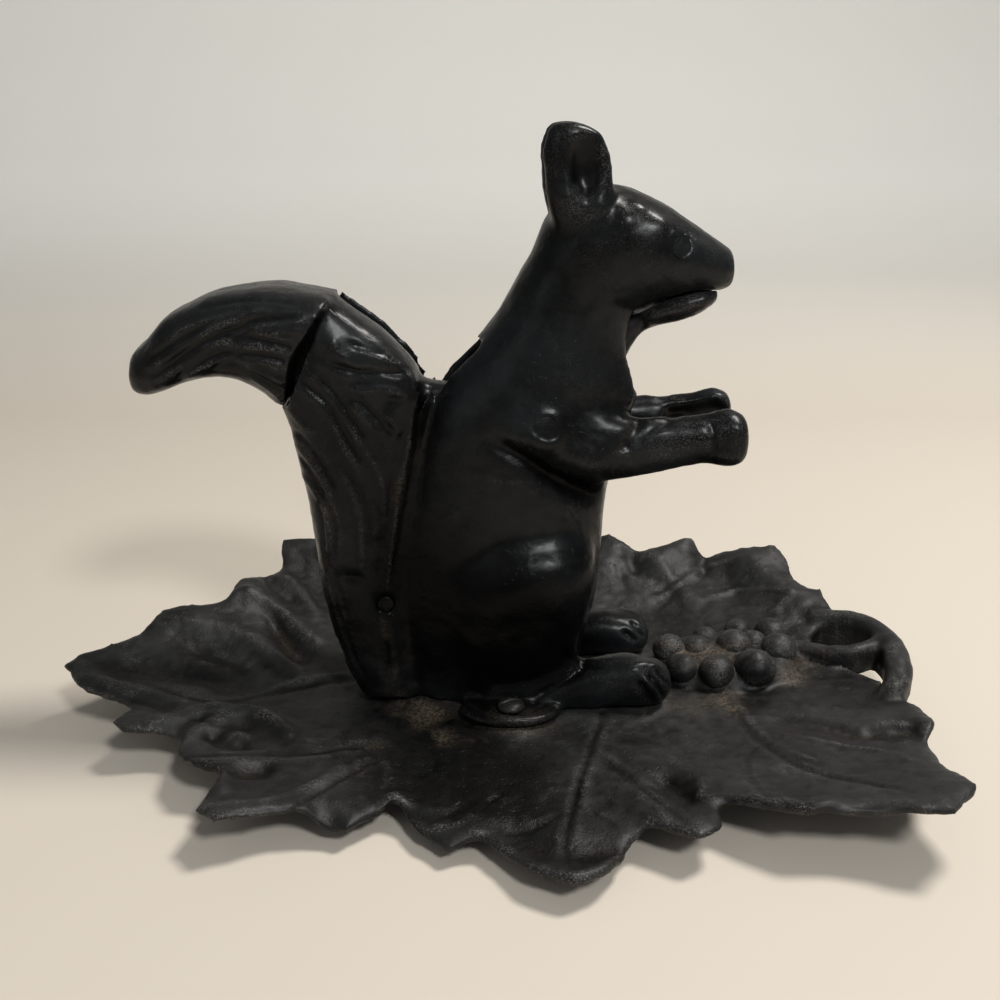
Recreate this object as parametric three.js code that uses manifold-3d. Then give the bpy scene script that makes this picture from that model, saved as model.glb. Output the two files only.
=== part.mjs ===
// Lever nutcracker: a hollow squirrel in two cast halves on a vine-leaf tray.
// Its tail is the lever: the tail's foot is part of the body, and the rest turns on a pin and works the jaw.
// Millimetres. X runs from the tail to the nose, Y across, Z up, from the middle of the tray's flat foot.

import * as THREE from "three";
import { mergeVertices } from "three/addons/utils/BufferGeometryUtils.js";
import Module from "manifold-3d";

// The figure. Its outlines are shares of its height, from the seat upwards.
const figureHeight = 183;
const bodyWidth = 58;
const castWall = 4;
const pawWall = 2;
const partingGap = 0.3;
const seatGap = 0.3;
const earScoopDepth = 5.5;
const housingFlare = 1.4;

// The lever
const webThickness = 12.4;
const slotClearance = 0.8;
const armThickness = 11;
const pivotBossRadius = 12;
const pivotBossWidth = 18;
const bossClearance = 0.4;
const edgeRound = 1.2;
const nutCupDepth = 4.5;
const nutCupWidth = 15;

// Pins, rivets and screws
const pinRadius = 3;
const pinHeadRadius = 3.8;
const pinHeadHeight = 1.4;
const rivetRadius = 1.6;
const rivetHeadRadius = 2.4;
const rivetHeadHeight = 1.4;
const eyeRadius = 1.6;
const eyeHeadRadius = 2.4;
const eyeHeadHeight = 1.2;
const crossBossWall = 3.6;
const holeClearance = 0.4;
const screwRadius = 2.5;
const screwHeadRadius = 4.5;
const screwHeadHeight = 2.6;
const screwOverhang = 2;
const screwRoom = 9;
const nutAcrossCorners = 9;
const nutHeight = 4;
const nutRecessRadius = 6.5;
const threadEnd = 1.2;

// The body's lugs
const lugLength = 34;
const lugWidth = 23;
const lugOverhang = 10;
const lugHeight = 2.4;
const lugBossRadius = 7;
const lugBossHeight = 0.6;

// The tray
const leafLength = 290;
const leafWidth = 200;
const leafThickness = 4;
const leafFloor = 10.5;
const leafLift = 24;
const seatHeight = 2.2;
const seatMargin = 2.5;
const footLength = 104;
const footWidth = 84;
const footDraft = 4;
const stemRadius = 3.4;
const loopRadius = 4.8;
const grapeRadius = 6.8;

// How finely curved surfaces are divided
const bodySides = 18;
const limbSides = 12;
const ringsPerRow = 2;
const domeRings = 2;
const headRings = 2;
const barSides = 16;
const wideSides = 24;
const leafRings = 5;
const grapeSides = 8;
const vineSides = 5;
const vineSteps = 2;

// How blunt the limbs' ovals are: 1 is an ellipse, more comes closer to a rounded oblong.
const limbBlunt = 1.1;
const tailBlunt = 1.75;
const jawBlunt = 1.3;

const bodyRadius = bodyWidth / 2;
const lugReach = bodyRadius + lugOverhang;
const screwSpread = bodyRadius + screwOverhang;
const seatTop = leafFloor + seatHeight;
const bodyBase = seatTop + seatGap;
const lugTop = bodyBase + lugHeight + lugBossHeight;
const screwSeat = lugTop + seatGap;
const leafMiddle = leafFloor - leafThickness / 2;
const overrun = 60;
const acrossBody = (share) => share * bodyRadius;

// How far the limbs stand from the middle plane, and how far the heads of the pin and the rivets lie from it,
// as shares of half the body's width.
const spreadShares = { foreleg: 0.5, foot: 0.655, ear: 0.38, haunch: 0.48 };
const reachShares = { pin: 0.759, rivet: 0.538, eye: 0.51 };
const [forelegSpread, footSpread, earSpread, haunchSpread] = Object.values(spreadShares).map(acrossBody);
const [pinReach, rivetReach, eyeReach] = Object.values(reachShares).map(acrossBody);

// Rows of the figure's lofts: the x and z of one edge, then of the other, as shares of the figure's height,
// and half the thickness there as a share of half the body's width.
const torsoShares = [
  [-0.186, -0.038, 0.137, -0.038, 0.759],
  [-0.197, 0.049, 0.153, 0.06, 0.828],
  [-0.202, 0.18, 0.18, 0.18, 0.828],
  [-0.186, 0.311, 0.186, 0.29, 0.776],
  [-0.158, 0.437, 0.197, 0.399, 0.741],
  [-0.126, 0.541, 0.23, 0.492, 0.724],
  [-0.071, 0.607, 0.24, 0.557, 0.672],
  [-0.022, 0.661, 0.224, 0.612, 0.603],
  [0.022, 0.732, 0.23, 0.672, 0.552],
  [0.055, 0.792, 0.251, 0.727, 0.534],
];
const headShares = [
  [0.05, 0.765, 0.13, 0.655, 0.45],
  [0.071, 0.836, 0.175, 0.65, 0.53],
  [0.109, 0.88, 0.219, 0.678, 0.603],
  [0.191, 0.896, 0.257, 0.694, 0.621],
  [0.257, 0.871, 0.295, 0.708, 0.586],
  [0.311, 0.839, 0.333, 0.716, 0.5],
  [0.361, 0.806, 0.366, 0.72, 0.397],
  [0.389, 0.785, 0.386, 0.724, 0.276],
];
const tailShares = [
  [-0.23, -0.049, -0.12, -0.049, 0.72],
  [-0.273, 0.027, -0.142, 0.027, 0.69],
  [-0.301, 0.109, -0.153, 0.109, 0.66],
  [-0.322, 0.186, -0.153, 0.186, 0.621],
  [-0.328, 0.273, -0.153, 0.273, 0.638],
  [-0.339, 0.361, -0.142, 0.361, 0.655],
  [-0.355, 0.443, -0.131, 0.459, 0.672],
  [-0.372, 0.519, -0.109, 0.563, 0.672],
  [-0.399, 0.549, -0.191, 0.65, 0.672],
  [-0.437, 0.571, -0.279, 0.716, 0.655],
  [-0.481, 0.579, -0.383, 0.734, 0.621],
  [-0.536, 0.568, -0.481, 0.721, 0.569],
  [-0.59, 0.546, -0.563, 0.683, 0.483],
  [-0.623, 0.541, -0.612, 0.628, 0.362],
];
const footShares = [
  [-0.011, 0.06, -0.011, -0.027, 0.241],
  [0.066, 0.066, 0.066, -0.027, 0.276],
  [0.153, 0.077, 0.153, -0.027, 0.293],
  [0.219, 0.09, 0.23, -0.016, 0.31],
  [0.273, 0.079, 0.273, -0.011, 0.31],
];
const haunchShares = [
  [-0.1, 0.03, 0.132, 0.03, 0.36],
  [-0.118, 0.12, 0.146, 0.115, 0.5],
  [-0.112, 0.21, 0.166, 0.2, 0.5],
  [-0.07, 0.274, 0.171, 0.262, 0.41],
  [-0.005, 0.307, 0.146, 0.3, 0.26],
];
const forelegShares = [
  [0.082, 0.55, 0.082, 0.42, 0.172],
  [0.153, 0.54, 0.153, 0.4, 0.245],
  [0.219, 0.519, 0.219, 0.41, 0.224],
  [0.295, 0.516, 0.295, 0.426, 0.207],
  [0.35, 0.522, 0.344, 0.437, 0.207],
  [0.388, 0.533, 0.383, 0.431, 0.235],
  [0.405, 0.526, 0.403, 0.438, 0.215],
];
const earShares = [
  [0.077, 0.836, 0.192, 0.847, 0.172],
  [0.07, 0.902, 0.183, 0.9, 0.172],
  [0.066, 0.951, 0.177, 0.945, 0.16],
  [0.077, 0.986, 0.165, 0.97, 0.135],
];
const jawShares = [
  [0.233, 0.7, 0.249, 0.654, 0.207],
  [0.26, 0.712, 0.27, 0.664, 0.31],
  [0.3, 0.722, 0.308, 0.673, 0.355],
  [0.335, 0.73, 0.342, 0.689, 0.34],
  [0.36, 0.733, 0.362, 0.703, 0.27],
];
const leftFootShare = 0.94;

// How far the ends of the limbs are domed
const domeShares = {
  nape: 0.02,
  nose: 0.004,
  tail: 0.022,
  ear: 0.014,
  paw: 0.016,
  pawHollow: 0.012,
  hip: 0.03,
  knee: 0.01,
  heel: 0.03,
  toes: 0.036,
  jaw: 0.006,
};

// Outlines on the middle plane, as shares of the figure's height.
const pivotShare = [0.077, 0.508];
const rivetShare = [-0.202, 0.18];
const eyeShare = [0.295, 0.803];
const housingShares = [
  [-0.268, 0.737],
  [-0.361, 0.533],
  [-0.492, 0.533],
  [-0.492, -0.2],
  [0, -0.2],
  [0, 0.54],
  [-0.1, 0.6],
  [-0.19, 0.7],
];
const shoulderShare = [-0.074, 0.503];
const shoulderRadiusShare = 0.295;
const handleLowShare = 0.538;
// The housing's rim stands out a little round its mouth.
const flareShares = [
  [-0.25, 0.77],
  [-0.304, 0.658],
  [-0.25, 0.61],
  [-0.15, 0.58],
  [-0.12, 0.6],
  [-0.19, 0.7],
];
// The lever's tongue fills the housing's open top, between its walls.
const tongueShares = [
  [-0.4, 0.62],
  [-0.36, 0.75],
  [-0.142, 0.75],
  [-0.142, 0.556],
  [-0.158, 0.52],
  [-0.27, 0.52],
  [-0.34, 0.57],
];
const housingSlotShares = [
  [-0.39, 0.56],
  [-0.31, 0.8],
  [-0.08, 0.8],
  [-0.08, 0.605],
  [-0.131, 0.541],
  [-0.146, 0.5],
  [-0.3, 0.5],
];
const webShares = [
  [-0.3, 0.7],
  [-0.131, 0.563],
  [-0.044, 0.557],
  [0.055, 0.57],
  [0.055, 0.45],
  [-0.109, 0.459],
  [-0.246, 0.486],
  [-0.328, 0.538],
  [-0.39, 0.57],
];
const rearSlotShares = [
  [-0.355, 0.541],
  [-0.284, 0.732],
  [-0.15, 0.76],
  [-0.045, 0.645],
  [-0.01, 0.618],
  [0.077, 0.601],
  [0.077, 0.41],
  [-0.109, 0.432],
  [-0.273, 0.464],
  [-0.333, 0.508],
];
const armShares = [
  [0.044, 0.563],
  [0.109, 0.623],
  [0.186, 0.668],
  [0.24, 0.684],
  [0.262, 0.672],
  [0.235, 0.645],
  [0.219, 0.617],
  [0.197, 0.563],
  [0.131, 0.464],
];
const throatSlotShares = [
  [0.087, 0.607],
  [0.164, 0.72],
  [0.25, 0.72],
  [0.306, 0.639],
  [0.306, 0.541],
  [0.273, 0.503],
  [0.186, 0.486],
  [0.109, 0.454],
];
const earScoopShare = [0.136, 0.922];
const earScoopRadiiShare = [0.027, 0.06];
const palateShare = [0.315, 0.715];
const palateRadiiShare = [0.055, 0.03];
const nutCupShare = [0.313, 0.713];
const nutCupLengthShare = 0.1;
const lugShare = 0.019;
const chestLipShare = [0.222, 0.545];
const chestLipRadiusShare = 0.021;
const chestLipWidthShare = 0.42;

// The pads that seat the body: the middle and the length as shares of its height, the width of its width.
const rumpPadShares = [-0.03, 0.46, 0.77];
const toePadShares = [0.16, 0.28, 0.4];

// The leaf's rim, lobe by lobe: an angle in degrees from the stalk, the reach as a share of half the leaf's
// length and width, and the lift as a share of the highest curl.
const rimShares = [
  [3, 0.92, 0.1],
  [9, 0.865, 0.1],
  [13, 0.84, 0.12],
  [21, 0.86, 0.25],
  [25, 0.985, 0.4],
  [29, 1, 0.55],
  [33, 1.04, 0.65],
  [37, 1.03, 0.58],
  [43, 1.12, 0.75],
  [47, 1.16, 0.9],
  [51, 1.12, 0.8],
  [55, 1.05, 0.68],
  [58, 1.07, 0.98],
  [64, 0.95, 0.77],
  [70, 0.98, 0.98],
  [77, 0.98, 0.75],
  [84, 1.07, 0.65],
  [90, 1.16, 0.7],
  [98, 1.08, 0.72],
  [108, 1, 0.7],
  [119, 0.99, 0.98],
  [124, 1.03, 1],
  [129, 0.89, 0.65],
  [140, 0.85, 0.82],
  [148, 0.79, 0.65],
  [159, 0.87, 0.72],
  [167, 0.87, 0.5],
  [173, 0.91, 0.55],
  [180, 0.99, 0.48],
  [189, 0.92, 0.38],
  [194, 0.81, 0.23],
  [201, 0.87, 0.31],
  [205, 0.86, 0.27],
  [208, 0.74, 0.1],
  [216, 0.8, 0.19],
  [223, 0.82, 0.28],
  [228, 0.79, 0.19],
  [234, 0.95, 0.21],
  [239, 0.99, 0.21],
  [245, 0.83, 0.04],
  [251, 0.82, -0.06],
  [255, 0.68, -0.12],
  [260, 0.78, -0.12],
  [265, 0.86, -0.12],
  [270, 0.81, -0.04],
  [275, 0.98, -0.04],
  [279, 1.06, -0.04],
  [283, 1.01, -0.04],
  [288, 0.89, -0.04],
  [291, 0.86, 0.06],
  [294, 0.97, 0.16],
  [298, 0.96, 0.16],
  [302, 0.86, 0.12],
  [305, 1.06, 0.34],
  [309, 1.1, 0.48],
  [313, 1.26, 0.6],
  [320, 1.22, 0.55],
  [326, 1.1, 0.4],
  [335, 1.02, 0.25],
  [338, 1.03, 0.4],
  [346, 0.99, 0.28],
  [352, 0.955, 0.12],
];
const leafCentreShare = [-0.014, -0.04];
const flatShare = 0.3;
const curlPower = 2.2;

// Grapes: x and y as shares of half the leaf's length, then size as a share of the largest grape.
// The last number is how far its middle stands above the leaf, as a share of its radius.
const grapeShares = [
  [0.433, -0.012, 0.76, 0.9],
  [0.509, -0.034, 0.87, 0.9],
  [0.599, -0.029, 1.01, 0.9],
  [0.481, 0.068, 0.75, 1.25],
  [0.411, 0.068, 0.78, 1.25],
  [0.511, 0.144, 0.68, 1.2],
  [0.566, 0.063, 0.9, 1.3],
  [0.597, 0.167, 0.76, 1.2],
  [0.676, 0.146, 0.91, 1.1],
  [0.676, 0.062, 0.87, 1.15],
  [0.62, 0.1, 0.72, 1.35],
];
// The low mound that they lie on: its middle and its reach, as shares of half the leaf's length.
const moundShare = [0.555, 0.062];
const moundRadiiShare = [0.21, 0.15];
const moundHeightShare = 0.38;
// The stalk and the loop across its end: x and y as above, z as a share of the highest curl.
const stalkShares = [
  [0.62, 0.1, 0.13],
  [0.733, 0.105, 0.16],
  [0.802, 0.058, 0.22],
  [0.857, 0.046, 0.27],
  [0.92, 0.079, 0.31],
];
const loopShares = [
  [0.8, 0.235, 0.28],
  [0.868, 0.204, 0.33],
  [0.922, 0.158, 0.333],
  [0.946, 0.073, 0.312],
  [0.939, -0.018, 0.28],
  [0.914, -0.1, 0.17],
  [0.84, -0.17, -0.1],
];

const wasm = await Module();
wasm.setup();

const figureX = (share) => share * figureHeight;
const figureZ = (share) => bodyBase + share * figureHeight;
const leafX = (share) => (share * leafLength) / 2;
const curlZ = (share) => leafFloor + share * leafLift;

// A closed geometry as a solid that can be joined and cut.
function solidOf(geometry) {
  const bare = geometry.clone();
  bare.deleteAttribute("normal");
  bare.deleteAttribute("uv");
  const merged = mergeVertices(bare);
  const vertProperties = merged.attributes.position.array;
  const triVerts = new Uint32Array(merged.index.array);
  return new wasm.Manifold(new wasm.Mesh({ numProp: 3, vertProperties, triVerts }));
}

const joined = (solids) => solids.reduce((sum, next) => sum.add(next));

function meshOf(name, solid, material) {
  const { vertProperties, triVerts } = solid.getMesh();
  const geometry = new THREE.BufferGeometry();
  geometry.setAttribute("position", new THREE.BufferAttribute(vertProperties, 3));
  geometry.setIndex(new THREE.BufferAttribute(triVerts, 1));
  geometry.computeVertexNormals();
  const mesh = new THREE.Mesh(geometry, material);
  mesh.name = name;
  return mesh;
}

function indexedGeometry(points, index) {
  const geometry = new THREE.BufferGeometry().setFromPoints(points);
  return geometry.setIndex(index);
}

// Closed rings of equally many points, skinned in turn and closed by a fan at each end.
function skin(rings) {
  const sides = rings[0].length;
  const index = [];
  const middle = (ring) => ring.reduce((sum, p) => sum.add(p), new THREE.Vector3()).divideScalar(sides);
  const ends = [rings[0], rings[rings.length - 1]].map(middle);
  const first = rings.length * sides;
  for (let k = 0; k < sides; k++) {
    const next = (k + 1) % sides;
    for (let i = 0; i + 1 < rings.length; i++) {
      const low = i * sides;
      const high = low + sides;
      index.push(low + k, low + next, high + next, low + k, high + next, high + k);
    }
    const last = (rings.length - 1) * sides;
    index.push(first, next, k, first + 1, last + k, last + next);
  }
  return indexedGeometry([...rings.flat(), ...ends], index);
}

// An oval ring between two edge points. The blunter it is, the closer it comes to a rounded oblong.
function ovalRing(section, scale, shift, y, sides, blunt) {
  const eased = (v) => Math.sign(v) * Math.abs(v) ** (1 / blunt);
  return Array.from({ length: sides }, (_, k) => {
    const turn = (2 * Math.PI * k) / sides;
    const u = eased(Math.cos(turn)) * section.reach * scale;
    const v = eased(Math.sin(turn)) * section.half * scale;
    return new THREE.Vector3(0, y + v, 0).addScaledVector(section.along, u).add(section.middle).add(shift);
  });
}

// A limb of the figure, skinned over rows of shares: an inset moves its surface inwards, and a dome ends it.
function limb(rows, options = {}) {
  const { y = 0, inset = 0, sides = bodySides, perRow = ringsPerRow, blunt = limbBlunt } = options;
  const edge = (at) =>
    new THREE.CatmullRomCurve3(
      rows.map((row) => new THREE.Vector3(figureX(row[at]), row[4] * bodyRadius, figureZ(row[at + 1]))),
    );
  const [first, second] = [edge(0), edge(2)];
  const count = (rows.length - 1) * perRow;
  const sections = Array.from({ length: count + 1 }, (_, i) => {
    const a = first.getPoint(i / count);
    const b = second.getPoint(i / count);
    const half = a.y - inset;
    a.y = 0;
    b.y = 0;
    const along = b.clone().sub(a);
    const reach = along.length() / 2 - inset;
    return { half, reach, middle: a.add(b).multiplyScalar(0.5), along: along.normalize() };
  });
  const flat = new THREE.Vector3();
  const dome = (section, height, way) =>
    Array.from({ length: domeRings }, (_, i) => {
      const lean = ((i + 1) / (domeRings + 0.5)) * (Math.PI / 2);
      const out = new THREE.Vector3(-section.along.z, 0, section.along.x);
      out.multiplyScalar(way * height * Math.sin(lean));
      return ovalRing(section, Math.cos(lean), out, y, sides, blunt);
    });
  const { startDome = 0, endDome = 0 } = options;
  return solidOf(
    skin([
      ...(startDome > 0 ? dome(sections[0], startDome, -1).reverse() : []),
      ...sections.map((section) => ovalRing(section, 1, flat, y, sides, blunt)),
      ...(endDome > 0 ? dome(sections[count], endDome, 1) : []),
    ]),
  );
}

// A plate on the middle plane from an outline of shares, its edges eased.
function plate(outline, thickness, ease = 0) {
  const shape = new THREE.Shape(outline.map(([x, z]) => new THREE.Vector2(figureX(x), figureZ(z))));
  const geometry = new THREE.ExtrudeGeometry(shape, {
    depth: thickness - 2 * ease,
    bevelEnabled: ease > 0,
    bevelSize: ease,
    bevelOffset: -ease,
    bevelThickness: ease,
    bevelSegments: 1,
  });
  return solidOf(geometry.translate(0, 0, ease - thickness / 2).rotateX(Math.PI / 2));
}

// A round bar across the figure, from one y to another.
function crossBar([x, z], radius, from, to) {
  const geometry = new THREE.CylinderGeometry(radius, radius, Math.abs(to - from), barSides);
  return solidOf(geometry.translate(figureX(x), (from + to) / 2, figureZ(z)));
}

// An upright round or oval post.
function post(x, y, from, to, radius, { stretch = 1, topRadius = radius, sides = barSides } = {}) {
  const geometry = new THREE.CylinderGeometry(topRadius, radius, to - from, sides);
  return solidOf(geometry.rotateX(Math.PI / 2).scale(1, stretch, 1).translate(x, y, (from + to) / 2));
}

function ellipsoid(centre, radii, sides = barSides) {
  const geometry = new THREE.SphereGeometry(1, sides, sides / 2);
  return solidOf(geometry.rotateX(Math.PI / 2).scale(...radii).translate(...centre));
}

function block(corner, opposite) {
  const box = new THREE.Box3().setFromPoints([corner, opposite].map((p) => new THREE.Vector3(...p)));
  const geometry = new THREE.BoxGeometry(...box.getSize(new THREE.Vector3()));
  return solidOf(geometry.translate(...box.getCenter(new THREE.Vector3())));
}

// A headed shaft, turned on its own axis: a straight shank and a domed head above it.
function headedShaft(radius, length, headRadius, headHeight) {
  const dome = new THREE.EllipseCurve(0, 0, headRadius, headHeight, 0, Math.PI / 2).getPoints(headRings);
  dome[headRings].x = 0;
  const tip = new THREE.Vector2(0, -length);
  const shank = [tip, new THREE.Vector2(radius, -length), new THREE.Vector2(radius, 0)];
  return new THREE.LatheGeometry([...shank, ...dome], barSides);
}

// A shaft across the figure with a domed head at each side.
function crossRivet([x, z], radius, reach, headRadius, headHeight) {
  const dome = new THREE.EllipseCurve(0, reach, headRadius, headHeight, 0, Math.PI / 2).getPoints(headRings);
  dome[headRings].x = 0;
  const upper = [new THREE.Vector2(radius, reach), ...dome];
  const lower = upper.map((p) => new THREE.Vector2(p.x, -p.y)).reverse();
  const geometry = new THREE.LatheGeometry([...lower, ...upper], barSides);
  return solidOf(geometry.translate(figureX(x), 0, figureZ(z)));
}

// The tail as one form. The body keeps its foot and the lever keeps the rest.
function tail(options = {}) {
  return limb(tailShares, { perRow: 1, blunt: tailBlunt, endDome: figureX(domeShares.tail), ...options });
}

function haunch(side, inset = 0) {
  const ends = { startDome: figureX(domeShares.hip), endDome: figureX(domeShares.knee) };
  return limb(haunchShares, { y: side * haunchSpread, inset, sides: barSides, perRow: 1, ...ends });
}

function ear(side) {
  const tip = { perRow: 1, endDome: figureX(domeShares.ear) };
  const shell = limb(earShares, { y: side * earSpread, sides: limbSides, ...tip });
  const [rx, rz] = earScoopRadiiShare.map(figureX);
  const outerFace = side * (earSpread + earShares[1][4] * bodyRadius);
  const centre = [figureX(earScoopShare[0]), outerFace, figureZ(earScoopShare[1])];
  return { shell, scoop: ellipsoid(centre, [rx, earScoopDepth, rz], limbSides) };
}

// A foreleg is a half-round shell, open towards the middle.
function foreleg(side) {
  const shape = { y: side * forelegSpread, sides: limbSides, perRow: 1 };
  const whole = limb(forelegShares, { ...shape, endDome: figureX(domeShares.paw) });
  const rows = forelegShares.slice(3);
  const inner = limb(rows, { ...shape, inset: pawWall, endDome: figureX(domeShares.pawHollow) });
  const half = rows[0][4] * bodyRadius;
  return { whole, legHollow: inner.translate([0, -side * half, 0]) };
}

function hindFoot(side) {
  const scale = side > 0 ? leftFootShare : 1;
  return limb(
    footShares.map((row) => row.map((share) => share * scale)),
    {
      y: side * footSpread,
      sides: limbSides,
      perRow: 1,
      startDome: figureX(domeShares.heel),
      endDome: figureX(domeShares.toes),
    },
  );
}

// The upper jaw's hollow for the nut or, with a wall, the metal round it.
function palate(wall) {
  const [rx, rz] = palateRadiiShare.map((share) => figureX(share) + wall);
  const centre = [figureX(palateShare[0]), 0, figureZ(palateShare[1])];
  return ellipsoid(centre, [rx, nutCupWidth / 2 + wall, rz], limbSides);
}

function lug(side) {
  const x = figureX(lugShare);
  const middle = side * (lugReach - lugWidth / 2);
  const stretch = lugWidth / lugLength;
  const foot = post(x, middle, bodyBase, bodyBase + lugHeight, lugLength / 2, { stretch });
  return foot.add(post(x, side * screwSpread, bodyBase, lugTop, lugBossRadius));
}

// Everything that both halves share: the outer form, its hollow and the slots that the lever swings in.
function bodyForms() {
  const inside = { inset: castWall, sides: limbSides, perRow: 1, endDome: 0 };
  const headDomes = { startDome: figureX(domeShares.nape), endDome: figureX(domeShares.nose) };
  const lipRadius = figureX(chestLipRadiusShare);
  const lipCentre = [figureX(chestLipShare[0]), 0, figureZ(chestLipShare[1])];
  const outer = joined([
    limb(torsoShares),
    limb(headShares, headDomes),
    tail().intersect(plate(housingShares, 2 * bodyWidth)),
    tail({ inset: -housingFlare }).intersect(plate(flareShares, 2 * bodyWidth)),
    ellipsoid(lipCentre, [lipRadius, chestLipWidthShare * bodyRadius, lipRadius], limbSides),
  ]);
  const hollow = joined([limb(torsoShares, inside), limb(headShares, inside), tail(inside)]);
  const slotWidth = webThickness + 2 * slotClearance;
  const housingWidth = 2 * (tailShares[6][4] * bodyRadius - castWall);
  const slots = joined([
    plate(rearSlotShares, slotWidth),
    plate(throatSlotShares, slotWidth),
    plate(housingSlotShares, housingWidth),
  ]);
  return { outer, hollow, slots };
}

// The holes of one half for the pin, the rivets and the base screw, with room for their heads.
function fixingHoles(side) {
  const across = [
    [pivotShare, pinRadius, pinHeadRadius, pinReach],
    [rivetShare, rivetRadius, rivetHeadRadius, rivetReach],
    [eyeShare, eyeRadius, eyeHeadRadius, eyeReach],
  ].flatMap(([share, radius, headRadius, reach]) => [
    crossBar(share, radius + holeClearance, -bodyWidth, bodyWidth),
    crossBar(share, headRadius + holeClearance, side * (reach - seatGap), side * bodyWidth),
  ]);
  const x = figureX(lugShare);
  const y = side * screwSpread;
  const roomTop = screwSeat + screwHeadHeight + screwRoom;
  const shank = post(x, y, -overrun, overrun, screwRadius + holeClearance);
  return joined([...across, shank, post(x, y, lugTop, roomTop, screwHeadRadius + holeClearance)]);
}

function bodyHalf(side, { outer, hollow, slots }) {
  const { shell, scoop } = ear(side);
  const { whole, legHollow } = foreleg(side);
  const form = joined([outer, haunch(side), hindFoot(side)]);
  const innerBoss = (share, radius, from) =>
    crossBar(share, radius, side * from, side * bodyRadius).intersect(form);
  const bosses = joined([
    innerBoss(pivotShare, pinRadius + 2 * crossBossWall, pivotBossWidth / 2 + bossClearance),
    innerBoss(rivetShare, rivetRadius + crossBossWall, 0),
    innerBoss(eyeShare, eyeRadius + crossBossWall, 0),
    palate(castWall).intersect(form),
  ]);
  const pinFaceRadius = pinHeadRadius + crossBossWall / 2;
  const pinFace = crossBar(pivotShare, pinFaceRadius, side * (pinReach - castWall), side * pinReach);
  const casting = form
    .subtract(joined([hollow, haunch(side, castWall)]))
    .add(bosses)
    .subtract(scoop)
    .add(shell.subtract(hollow).subtract(scoop))
    .add(whole.subtract(hollow).subtract(legHollow))
    .add(lug(side).subtract(hollow))
    .add(pinFace)
    .subtract(joined([slots, palate(0), fixingHoles(side)]));
  const room = block(
    [-figureHeight, (side * partingGap) / 2, bodyBase],
    [figureHeight, side * (bodyWidth + overrun), 2 * figureHeight],
  );
  return casting.intersect(room);
}

function tailLever() {
  const shoulderDisc = crossBar(shoulderShare, figureX(shoulderRadiusShare), -bodyWidth, bodyWidth);
  const below = block(
    [-2 * figureHeight, -bodyWidth, -figureHeight],
    [figureHeight, bodyWidth, figureZ(handleLowShare)],
  );
  const handle = tail().subtract(shoulderDisc).subtract(below);
  const web = plate(webShares, webThickness, edgeRound);
  const wallShare = (castWall + slotClearance) / bodyRadius;
  const innerShares = tailShares.map((row) => [...row.slice(0, 4), row[4] - wallShare]);
  const fit = { sides: limbSides, perRow: 1, blunt: tailBlunt, inset: slotClearance };
  const tongue = limb(innerShares, fit).intersect(plate(tongueShares, 2 * bodyWidth));
  const boss = crossBar(pivotShare, pivotBossRadius, -pivotBossWidth / 2, pivotBossWidth / 2);
  const arm = plate(armShares, armThickness, edgeRound);
  const head = limb(headShares, { inset: -bossClearance, endDome: figureX(domeShares.nose) });
  const chin = { perRow: 1, endDome: figureX(domeShares.jaw) };
  const whole = limb(jawShares, { sides: limbSides, blunt: jawBlunt, ...chin });
  const jaw = whole.subtract(head);
  const cup = ellipsoid(
    [figureX(nutCupShare[0]), 0, figureZ(nutCupShare[1])],
    [figureX(nutCupLengthShare) / 2, nutCupWidth / 2, nutCupDepth],
    limbSides,
  );
  const pinHole = crossBar(pivotShare, pinRadius + holeClearance, -bodyWidth, bodyWidth);
  return joined([handle, tongue, web, boss, arm, jaw]).subtract(cup).subtract(pinHole);
}

function leafCentre() {
  const [x, y] = leafCentreShare;
  return new THREE.Vector3(x * leafLength, y * leafWidth, leafFloor);
}

function rimPoint([angle, reach, lift]) {
  const turn = THREE.MathUtils.degToRad(angle);
  const x = (reach * Math.cos(turn) * leafLength) / 2;
  const y = (reach * Math.sin(turn) * leafWidth) / 2;
  return new THREE.Vector3(x, y, lift * leafLift).add(leafCentre());
}

// The leaf as a dished sheet: rings of points from the middle to the rim, thickened along its normals.
function leafSheet() {
  const rim = rimShares.map(rimPoint);
  const centre = leafCentre();
  const upper = [centre];
  const index = [];
  for (let i = 1; i <= leafRings; i++) {
    const s = i / leafRings;
    const climb = Math.max(0, (s - flatShare) / (1 - flatShare)) ** curlPower;
    rim.forEach((p) => {
      const q = centre.clone().lerp(p, s);
      q.z = THREE.MathUtils.lerp(leafFloor, p.z, climb);
      upper.push(q);
    });
  }
  for (let k = 0; k < rim.length; k++) {
    const next = (k + 1) % rim.length;
    index.push(0, 1 + k, 1 + next);
    for (let i = 0; i + 1 < leafRings; i++) {
      const low = 1 + i * rim.length;
      const high = low + rim.length;
      index.push(low + k, high + k, high + next, low + k, high + next, low + next);
    }
  }
  const top = indexedGeometry(upper, index);
  top.computeVertexNormals();
  const normal = new THREE.Vector3();
  const lower = upper.map((p, i) => {
    normal.fromBufferAttribute(top.attributes.normal, i);
    return p.clone().addScaledVector(normal, -leafThickness);
  });
  const faces = [...index];
  for (let i = 0; i < index.length; i += 3) {
    faces.push(upper.length + index[i], upper.length + index[i + 2], upper.length + index[i + 1]);
  }
  const outer = upper.length - rim.length;
  for (let k = 0; k < rim.length; k++) {
    const a = outer + k;
    const b = outer + ((k + 1) % rim.length);
    faces.push(a, upper.length + a, upper.length + b, a, upper.length + b, b);
  }
  return solidOf(indexedGeometry([...upper, ...lower], faces));
}

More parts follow.
